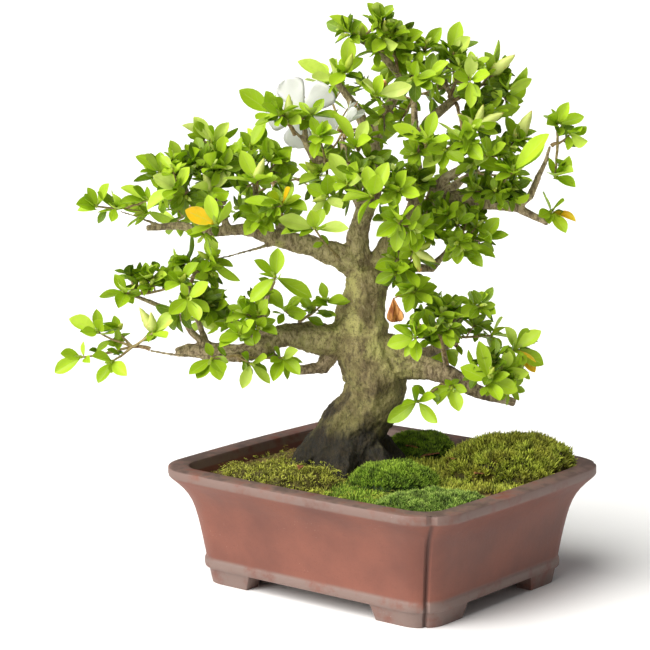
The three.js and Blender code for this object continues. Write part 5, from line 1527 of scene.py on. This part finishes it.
for number, (name, sizes) in enumerate(BLOOMS.items()):
    origin, seat, axis, spread, first_turn, petal, width = sizes
    ahead = Vector(axis).normalized()
    side = ahead.cross(UP).normalized()
    seat = Vector(seat)
    throat = seat + ahead * CALYX_LENGTH
    bloom = Assembly()
    lean = math.radians(spread)
    for i in range(PETALS):
        out = side.copy()
        out.rotate(Quaternion(ahead, math.radians(first_turn) + i / PETALS * math.tau))
        along = (ahead * math.cos(lean) + out * math.sin(lean)).normalized()
        face = square_to(along, ahead)
        bloom.petal(0, throat - ahead * 1.5, along, face, petal, width * 1.06,
                    PETAL_SEED + 7 * number + i)
    draw = seeded(STAMEN_SEED + number)
    reach = petal * 0.72
    for i in range(STAMENS):
        open_by = math.radians(mix(6, 20, draw()) * min(1, spread / 40))
        way = tilted(ahead, open_by, i * GOLDEN)
        tip = throat + way * reach * mix(0.8, 1, draw()) + UP * 1.5
        stamen = bowed(throat, throat.lerp(tip, 0.5) + ahead * 2, tip, draw, 0.1)
        bloom.tube(0, stamen, [0.22] * len(stamen), 5)
        bloom.tube(1, [tip, tip + way * 1.4], [0.5, 0.42])
    tip = throat + ahead * reach * 1.15 + UP * 4
    style = bowed(throat, throat + ahead * reach * 0.7, tip, draw, 0.1)
    bloom.tube(1, style, [0.4] * len(style))
    start = on_wood(origin, 4)
    stalk = bowed(start, start.lerp(seat, 0.5), seat, draw, 0.3)
    bloom.tube(1, stalk, np.linspace(1.1, 0.9, len(stalk)))
    cup = [seat - ahead, seat, seat + ahead * 2, seat + ahead * 3.6, throat + ahead * 0.4]
    bloom.tube(1, cup, [1.0, 1.7, 2.2, 2.5, 2.7], 10)
    for i in range(SEPALS):
        out = side.copy()
        out.rotate(Quaternion(ahead, (i + 0.5) / SEPALS * math.tau))
        along = (ahead * 0.75 + out * 0.65).normalized()
        face = square_to(along, ahead)
        bloom.petal(1, seat + ahead * 1.5, along, face, 5.5, 3.4, SEPAL_SEED + i)
    finished(bloom.piece(name + "_flower", petal_white, calyx_green), "petal", name)

# %% [markdown]
# ## Soil
# The pot is filled with baked clay granules, darkened by water and moss dust. The fill's surface is
# a refined copy of the frame's solid, and loose grains lie on it: one Geometry Nodes tree scatters
# any small shape over the upward faces of any piece, and it serves the mosses below as well.

# %% Scatter tree
scatter = geometry_tree("scatter", **{
    "Grains": "Collection", "Density": "Float", "Smallest": "Float", "Largest": "Float",
    "Upright": "Float", "Keep base": "Bool", "Finish": "Material", "Seed": "Int",
    "Cover": "Float", "Middle": "Vector", "Reach": "Float"})
ground = given(scatter, "Geometry")
facing = scatter.node("GeometryNodeInputNormal")
upward = scatter.node("FunctionNodeCompare", {0: scatter.split(facing)[2], 1: 0.25}, data_type="FLOAT",
                      operation="GREATER_THAN")
place = scatter.node("GeometryNodeInputPosition")
away = scatter.distance(place, given(scatter, "Middle"))
clumps = scatter.noise(place, 55, 3, 0.6) + given(scatter, "Cover")
thinning = scatter.band(away / given(scatter, "Reach"), 0.7, 1) * 0.6
covered = scatter.node("FunctionNodeCompare", {0: clumps - thinning, 1: 1.0}, data_type="FLOAT",
                       operation="GREATER_THAN")
grown = scatter.node("FunctionNodeBooleanMath", {0: upward, 1: covered}, operation="AND")
spread_points = scatter.node("GeometryNodeDistributePointsOnFaces", {
    "Mesh": ground, "Selection": grown, "Density": given(scatter, "Density"),
    "Seed": given(scatter, "Seed")}, distribute_method="RANDOM")
spots = scatter.last
leaning = scatter.node("FunctionNodeAlignRotationToVector", {
    "Rotation": Field(scatter, spots.outputs["Rotation"]), "Factor": given(scatter, "Upright"),
    "Vector": (0, 0, 1)}, axis="Z")
spin = scatter.node("FunctionNodeRandomValue", {
    0: (-0.3, -0.3, 0), 1: (0.3, 0.3, math.tau), "Seed": given(scatter, "Seed")},
    data_type="FLOAT_VECTOR")
spun = scatter.node("FunctionNodeRotateRotation", {
    "Rotation": leaning, "Rotate By": scatter.node("FunctionNodeEulerToRotation", {0: spin})},
    rotation_space="LOCAL")
stock = scatter.node("GeometryNodeCollectionInfo", {
    "Collection": given(scatter, "Grains"), "Separate Children": True, "Reset Children": True})
size = scatter.node("FunctionNodeRandomValue", {
    2: given(scatter, "Smallest"), 3: given(scatter, "Largest"), "Seed": 7}, out=1,
    data_type="FLOAT")
shade = scatter.node("FunctionNodeRandomValue", {2: 0.0, 3: 1.0, "Seed": 9}, out=1,
                     data_type="FLOAT")
pick = scatter.node("FunctionNodeRandomValue", {4: 0, 5: 99, "Seed": 11}, out=2, data_type="INT")
tinted = scatter.node("GeometryNodeStoreNamedAttribute", {
    "Geometry": spread_points, "Name": "tint", "Value": shade}, data_type="FLOAT", domain="POINT")
grains = scatter.node("GeometryNodeInstanceOnPoints", {
    "Points": tinted, "Instance": stock, "Pick Instance": True, "Instance Index": pick,
    "Rotation": spun, "Scale": size})
real = scatter.node("GeometryNodeRealizeInstances", {"Geometry": grains})
real = scatter.node("GeometryNodeSetMaterial", {"Geometry": real,
                                                "Material": given(scatter, "Finish")})
kept = scatter.node("GeometryNodeSwitch", {"Switch": given(scatter, "Keep base"), "True": ground},
                    input_type="GEOMETRY")
both = scatter.node("GeometryNodeJoinGeometry")
for part in (real, kept):
    scatter.tree.links.new(part.socket, scatter.last.inputs[0])
scatter.feed(scatter.result.inputs[0], both)
EVERYWHERE = {"Cover": 1.0, "Reach": 1.0}


def strewn(piece, grains, finish, density, smallest, largest, seed, **values):
    """Strews grains over a piece, with sizes in millimetres, and leaves a plain mesh."""
    run_tree(piece, scatter, **{"Grains": grains, "Finish": finish.material, "Density": density,
                                "Smallest": smallest * MM, "Largest": largest * MM, "Seed": seed,
                                **values})
    settle(piece)


print("scatter tree has", len(scatter.tree.nodes), "nodes")

# %% Soil grains
soil_grains = bpy.data.collections.new("soil_grains")
draw = seeded(31)
for number in range(3):
    shape = bmesh.new()
    bmesh.ops.create_icosphere(shape, subdivisions=1, radius=0.5)
    for vertex in shape.verts:
        vertex.co *= mix(0.75, 1.2, draw())
        vertex.co.z *= 0.75
    mesh = bpy.data.meshes.new(f"grain_{number}")
    shape.to_mesh(mesh)
    shape.free()
    soil_grains.objects.link(bpy.data.objects.new(f"grain_{number}", mesh))

earth = Finish("soil_granules")
crumb = earth.noise(earth.place, 420, 4, 0.6)
shade = earth.own("tint")
tone = earth.mix(earth.band(crumb, 0.35, 0.65), paint(76, 60, 28), paint(138, 114, 60))
tone = earth.mix(earth.band(shade, 0.55, 1.0) * 0.7, tone, paint(128, 102, 64))
moist = earth.band(earth.noise(earth.place, 60, 3), 0.45, 0.62)
tone = earth.mix(moist * 0.45, tone, paint(90, 94, 30))
earth.set(Base_Color=tone, Roughness=0.92)
earth.bump(crumb, 0.8, 0.8)

rough_ground = geometry_tree("rough ground", **{"Height": "Float"})
place = rough_ground.node("GeometryNodeInputPosition")
hills = rough_ground.noise(place, 95, 4, 0.6) - 0.5
push_out(rough_ground, hills * given(rough_ground, "Height"))

soil = welded("soil", "soil_fill")
modifier(soil, "REMESH", mode="VOXEL", voxel_size=2.5 * MM)
modifier(soil, "DISPLACE", strength=-0.9 * MM, mid_level=0)
run_tree(soil, rough_ground, **{"Height": 1.6})
settle(soil)
soil.data.materials.append(earth.material)
strewn(soil, soil_grains, earth, 90000.0, 1.0, 2.8, 3, **{"Upright": 0.0, "Keep base": True},
       **EVERYWHERE)
finished(soil, "soil", "soil")

# %% [markdown]
# ## Mosses
# Five patches of moss lie on the soil. Each is a cushion with a rolling surface, covered with
# thousands of tiny sprigs. Three sprig shapes make the kinds apart: a star of short leaves for the
# dense cushions, a finer and paler star for the frosted corner, and a creeping strand for the loose
# moss at the left.

# %% Moss sprigs
def moss_leaf(shape, root, middle, tip, side, start, end):
    """One pointed leaf of four faces, folded across its middle."""
    points, grain, faces = shape
    k = len(points)
    points += [root, middle + side, middle - side, tip]
    grain += [(start, 0.5), (mix(start, end, 0.5), 0), (mix(start, end, 0.5), 1), (end, 0.5)]
    faces += [(k, k + 1, k + 2), (k + 1, k + 3, k + 2), (k, k + 3, k + 1), (k, k + 2, k + 3)]


def star_sprig(name, leaves, height, lean, half_width):
    """A star of pointed leaves with its root at the origin; its grain runs from root to tip."""
    shape = ([], [], [])
    for i in range(leaves):
        a = i / leaves * math.tau
        way = Vector((math.cos(a), math.sin(a), 0))
        side = Vector((-way.y, way.x, 0)) * half_width
        rise = height * (1 if i % 2 else 0.8)
        moss_leaf(shape, way * 0.02, way * lean * 0.7 + UP * rise * 0.45, way * lean + UP * rise,
                  side, 0, 1)
    return shaped(name, *shape)


def strand_sprig(name, joints, length):
    """A creeping strand: a low arch with a pair of small leaves at each joint."""
    shape = ([], [], [])
    for i in range(joints):
        t = (i + 0.5) / joints
        root = Vector((length * t, 0, length * 0.5 * math.sin(math.pi * t) * (1 - 0.3 * t) + 0.1))
        size = 0.36 * (1.15 - 0.5 * t) * length / 2.6
        for sign in (-1, 1):
            way = Vector((0.5, sign * 0.8, 0.35 if i % 2 else -0.05)).normalized()
            side = Vector((0.8, -sign * 0.5, 0)) * size * 0.32
            moss_leaf(shape, root, root + way * size * 0.5 + UP * size * 0.2, root + way * size * 1.4,
                      side, t * 0.6, 0.4 + t * 0.6)
    return shaped(name, *shape)


def kinds_of(name, *pieces):
    made = bpy.data.collections.new(name)
    for piece in pieces:
        made.objects.link(piece)
    return made


stars = kinds_of("stars", star_sprig("star_a", 6, 1.0, 0.62, 0.13),
                 star_sprig("star_b", 5, 1.3, 0.45, 0.12))
fine_stars = kinds_of("fine_stars", star_sprig("fine_a", 5, 1.0, 0.4, 0.11),
                      star_sprig("fine_b", 5, 0.8, 0.55, 0.1))
strands = kinds_of("strands", strand_sprig("strand_a", 4, 2.6), strand_sprig("strand_b", 3, 2.2),
                   star_sprig("strand_tuft", 5, 1.1, 0.6, 0.12))


def moss_finish(name, deep, middle, tip, odd):
    moss = Finish(name)
    rise = moss.grain()[0]
    patch = moss.band(moss.noise(moss.place, 90, 3), 0.38, 0.62)
    tone = moss.mix(moss.band(rise, 0.1, 0.6), deep, middle)
    tone = moss.mix(moss.band(rise, 0.4, 0.95) * (moss.own("tint") * 0.7 + 0.3), tone, tip)
    tone = moss.mix(patch * 0.4, tone, odd)
    # Painted shade: a noise darkens patches of sprigs towards the deep colour, as shade between the
    # tufts.
    hollow = 1 - moss.band(moss.noise(moss.place, 210, 3, 0.6), 0.38, 0.54)
    tone = moss.mix(hollow * 0.62, tone, deep)
    moss.set(Base_Color=tone, Roughness=0.8)
    moss.bump(moss.noise(moss.place, 1500, 2), 0.4, 0.3)
    return moss


cushion_moss = moss_finish("cushion_moss", paint(50, 50, 8), paint(140, 158, 28),
                           paint(226, 234, 96), paint(150, 132, 40))
dome_moss = moss_finish("dome_moss", paint(34, 54, 6), paint(108, 146, 20), paint(196, 224, 76),
                        paint(64, 98, 16))
frosted_moss = moss_finish("frosted_moss", paint(30, 50, 6), paint(102, 144, 28),
                           paint(214, 234, 120), paint(70, 104, 26))
strand_moss = moss_finish("strand_moss", paint(66, 58, 18), paint(164, 172, 40),
                          paint(238, 238, 116), paint(112, 104, 36))

# %% Moss patches
MOSS_SEED, FILM_SEED = 20, 41
# Each row: sprigs, finish, sprigs a square metre, smallest and largest in millimetres, how upright
# they stand, and the height of the hills in millimetres.
MOSSES = {
    "moss_cushion_right": (stars, cushion_moss, 400000.0, 2.4, 5.2, 0.4, 15.0),
    "moss_dome_front": (stars, dome_moss, 800000.0, 1.6, 3.4, 0.45, 8.0),
    "moss_frosted_corner": (fine_stars, frosted_moss, 900000.0, 1.5, 3.4, 0.4, 11.0),
    "moss_strands_left": (strands, strand_moss, 330000.0, 1.8, 4.4, 0.3, 14.0),
    "moss_tuft_back": (stars, dome_moss, 700000.0, 1.6, 3.2, 0.6, 9.0),
}
for number, (node, settings) in enumerate(MOSSES.items()):
    grains, finish, density, small, large, upright, hill = settings
    patch = welded(node, node.replace("moss_", "mossy_"))
    modifier(patch, "REMESH", mode="VOXEL", voxel_size=1.7 * MM)
    modifier(patch, "SMOOTH", factor=0.5, iterations=6)
    modifier(patch, "DISPLACE", strength=-1.2 * MM, mid_level=0)
    run_tree(patch, rough_ground, **{"Height": hill})
    settle(patch)
    patch.data.materials.append(finish.material)
    strewn(patch, grains, finish, density, small, large, MOSS_SEED + number,
           **{"Upright": upright, "Keep base": True}, **EVERYWHERE)
    finished(patch, "moss", node)

# %% [markdown]
# Between the patches the soil is grown over more thinly. The same sprigs are scattered over a copy of
# the soil's own top, each kind within reach of its own patch and one thin kind everywhere, without
# keeping that copy. A noise leaves bare places between the clumps.

# %% Thin moss over the soil
# Each row: name, sprigs, finish, middle, reach, sprigs a square metre, smallest, largest, cover.
FILMS = [("mossy_film_left", strands, strand_moss, (-48, -30, 72), 82, 140000.0, 1.8, 4.2, 0.58),
         ("mossy_film_right", stars, cushion_moss, (66, 4, 74), 74, 210000.0, 2.2, 4.8, 0.64),
         ("mossy_film_front", stars, dome_moss, (6, -58, 70), 50, 260000.0, 1.8, 4.0, 0.7),
         ("mossy_film_corner", fine_stars, frosted_moss, (32, -80, 70), 46, 360000.0, 1.6, 3.6, 0.74),
         ("mossy_film_thin", strands, strand_moss, (0, 10, 72), 150, 60000.0, 1.2, 2.4, 0.5)]
for number, (name, grains, finish, middle, reach, density, small, large, cover) in enumerate(FILMS):
    thin = welded("soil", name)
    modifier(thin, "REMESH", mode="VOXEL", voxel_size=3 * MM)
    settle(thin)
    strewn(thin, grains, finish, density, small, large, FILM_SEED + number,
           **{"Upright": 0.3, "Keep base": False, "Cover": cover, "Middle": on_tree(*middle),
              "Reach": reach * MM})
    finished(thin, "moss")

# %% [markdown]
# ## Withered petals and fallen leaves
# A few spent petals still hang among the leaves, each from the shoot that bore it, and some dead
# leaves and a bare twig lie on the moss. Their places on the ground are found by a line of sight
# from the camera to the first thing that it meets, so they lie on the moss and not above it.

# %% Withered finish
withered = Finish("withered_petal")
streak = withered.noise(withered.stretch(withered.place, (1, 1, 0.5)), 420, 4)
tone = withered.mix(withered.band(streak, 0.4, 0.62), paint(150, 88, 42), paint(212, 154, 84))
withered.set(Base_Color=tone, Roughness=0.7)
withered.bump(streak, 0.6, 0.4)
dead_leaf = Finish("dead_leaf")
streak = dead_leaf.noise(dead_leaf.place, 300, 4)
tone = dead_leaf.mix(dead_leaf.band(streak, 0.38, 0.64), paint(92, 50, 26), paint(168, 110, 66))
dead_leaf.set(Base_Color=tone, Roughness=0.75)
dead_leaf.bump(streak, 0.6, 0.4)

# %% Withered petals
# Each row: where the stalk starts, where the petals hang, their direction, length, width and number.
HANGING = [((19, -18, 191), (6, -23, 187), (0.12, -0.05, -1), 17, 9, 3),
           ((31, -26, 167), (29, -26, 168), (-1, 0.25, 0.15), 13, 6, 2),
           ((-6, -36, 314), (-5, -34, 315), (0.4, 0.35, 0.8), 11, 6, 2),
           ((18, -36, 219), (19, -38, 216), (0.25, -0.2, -0.95), 11, 5, 1)]
SPENT_SEED, SPENT_PETAL_SEED = 303, 310
spent = Assembly()
draw = seeded(SPENT_SEED)
for number, (shoot, seat, way, length, width, count) in enumerate(HANGING):
    seat = Vector(seat)
    stalk = bowed(Vector(shoot), Vector(shoot).lerp(seat, 0.5) + UP, seat, draw, 0.2, 4)
    spent.tube(1, stalk, [0.4] * len(stalk), 5)
    for i in range(count):
        along = tilted(Vector(way).normalized(), 0.16 * (i > 0), i * 2.4)
        face = upper_side(along, -1, 50 * (i - 1))
        spent.petal(0, seat - along * 0.4, along, face, length * mix(0.8, 1, draw()), width,
                    SPENT_PETAL_SEED + 5 * number + i)
finished(spent.piece("withered_petals", withered, calyx_green), "petal")

# %% Fallen leaves
graph = bpy.context.evaluated_depsgraph_get()
grounds = [BVHTree.FromObject(o, graph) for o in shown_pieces()
           if o.name.startswith(("mossy", "soil_fill"))]


def lies_at(px, py):
    """The first place of the ground on the line of sight through a pixel, in the tree's frame."""
    way = (right * (px - PICTURE / 2) + above * (PICTURE / 2 - py) - back * FOCAL_PIXELS).normalized()
    hits = [tree.ray_cast(eye, way) for tree in grounds]
    return from_frame(min((hit for hit in hits if hit[0]), key=lambda hit: hit[3])[0])


# Each row: the pixel where a dead leaf lies, its heading in degrees, its length and its width.
FALLEN = [((430, 455), 24, 13, 8), ((483, 474), 200, 12, 7), ((452, 459), 310, 9, 5),
          ((300, 468), 80, 8, 4.5), ((412, 447), 150, 9, 5)]
TWIG_PIXELS = [(356, 458, 0.3), (366, 451, 2.2), (378, 447, 3.0), (389, 447, 1.6), (396, 450, 0.2)]
TWIG_RADII = [0.5, 0.65, 0.7, 0.6, 0.4]
FALLEN_SEED = 340
litter = Assembly()
for number, ((px, py), heading, length, width) in enumerate(FALLEN):
    seat = lies_at(px, py)
    along = Vector((math.cos(math.radians(heading)), math.sin(math.radians(heading)), 0.12)).normalized()
    face = square_to(along, UP)
    litter.petal(0, seat - along * length / 2 + UP * 0.5, along, face, length, width,
                 FALLEN_SEED + number)
path = [lies_at(px, py) + UP * rise for px, py, rise in TWIG_PIXELS]
litter.tube(1, path, TWIG_RADII)
finished(litter.piece("fallen_leaves", dead_leaf, twig_bark), "leaf")

# %% [markdown]
# ## Drain screens
# Two plastic screens lie under the soil over the drain holes. Their frame shape is right, so they
# keep it and get a moulded plastic finish.

# %% Screens
plastic = Finish("screen_plastic")
mould = plastic.noise(plastic.place, 900, 2)
plastic.set(Base_Color=plastic.mix(mould, paint(30, 34, 30), paint(44, 48, 44)), Roughness=0.55)
plastic.bump(mould, 0.2, 0.1)
for node in ("drain_screen_a", "drain_screen_b"):
    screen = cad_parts[node]
    screen.data.materials.clear()
    screen.data.materials.append(plastic.material)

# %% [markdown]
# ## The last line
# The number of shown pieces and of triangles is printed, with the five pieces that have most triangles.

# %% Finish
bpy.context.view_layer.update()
triangles = {o.name: sum(len(p.vertices) - 2 for p in o.data.polygons)
             for o in bpy.data.objects if o.type == "MESH" and not o.hide_render and o.users_collection}
print("pieces", len(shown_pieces()), "triangles", sum(triangles.values()),
      sorted(triangles.items(), key=lambda item: -item[1])[:5])
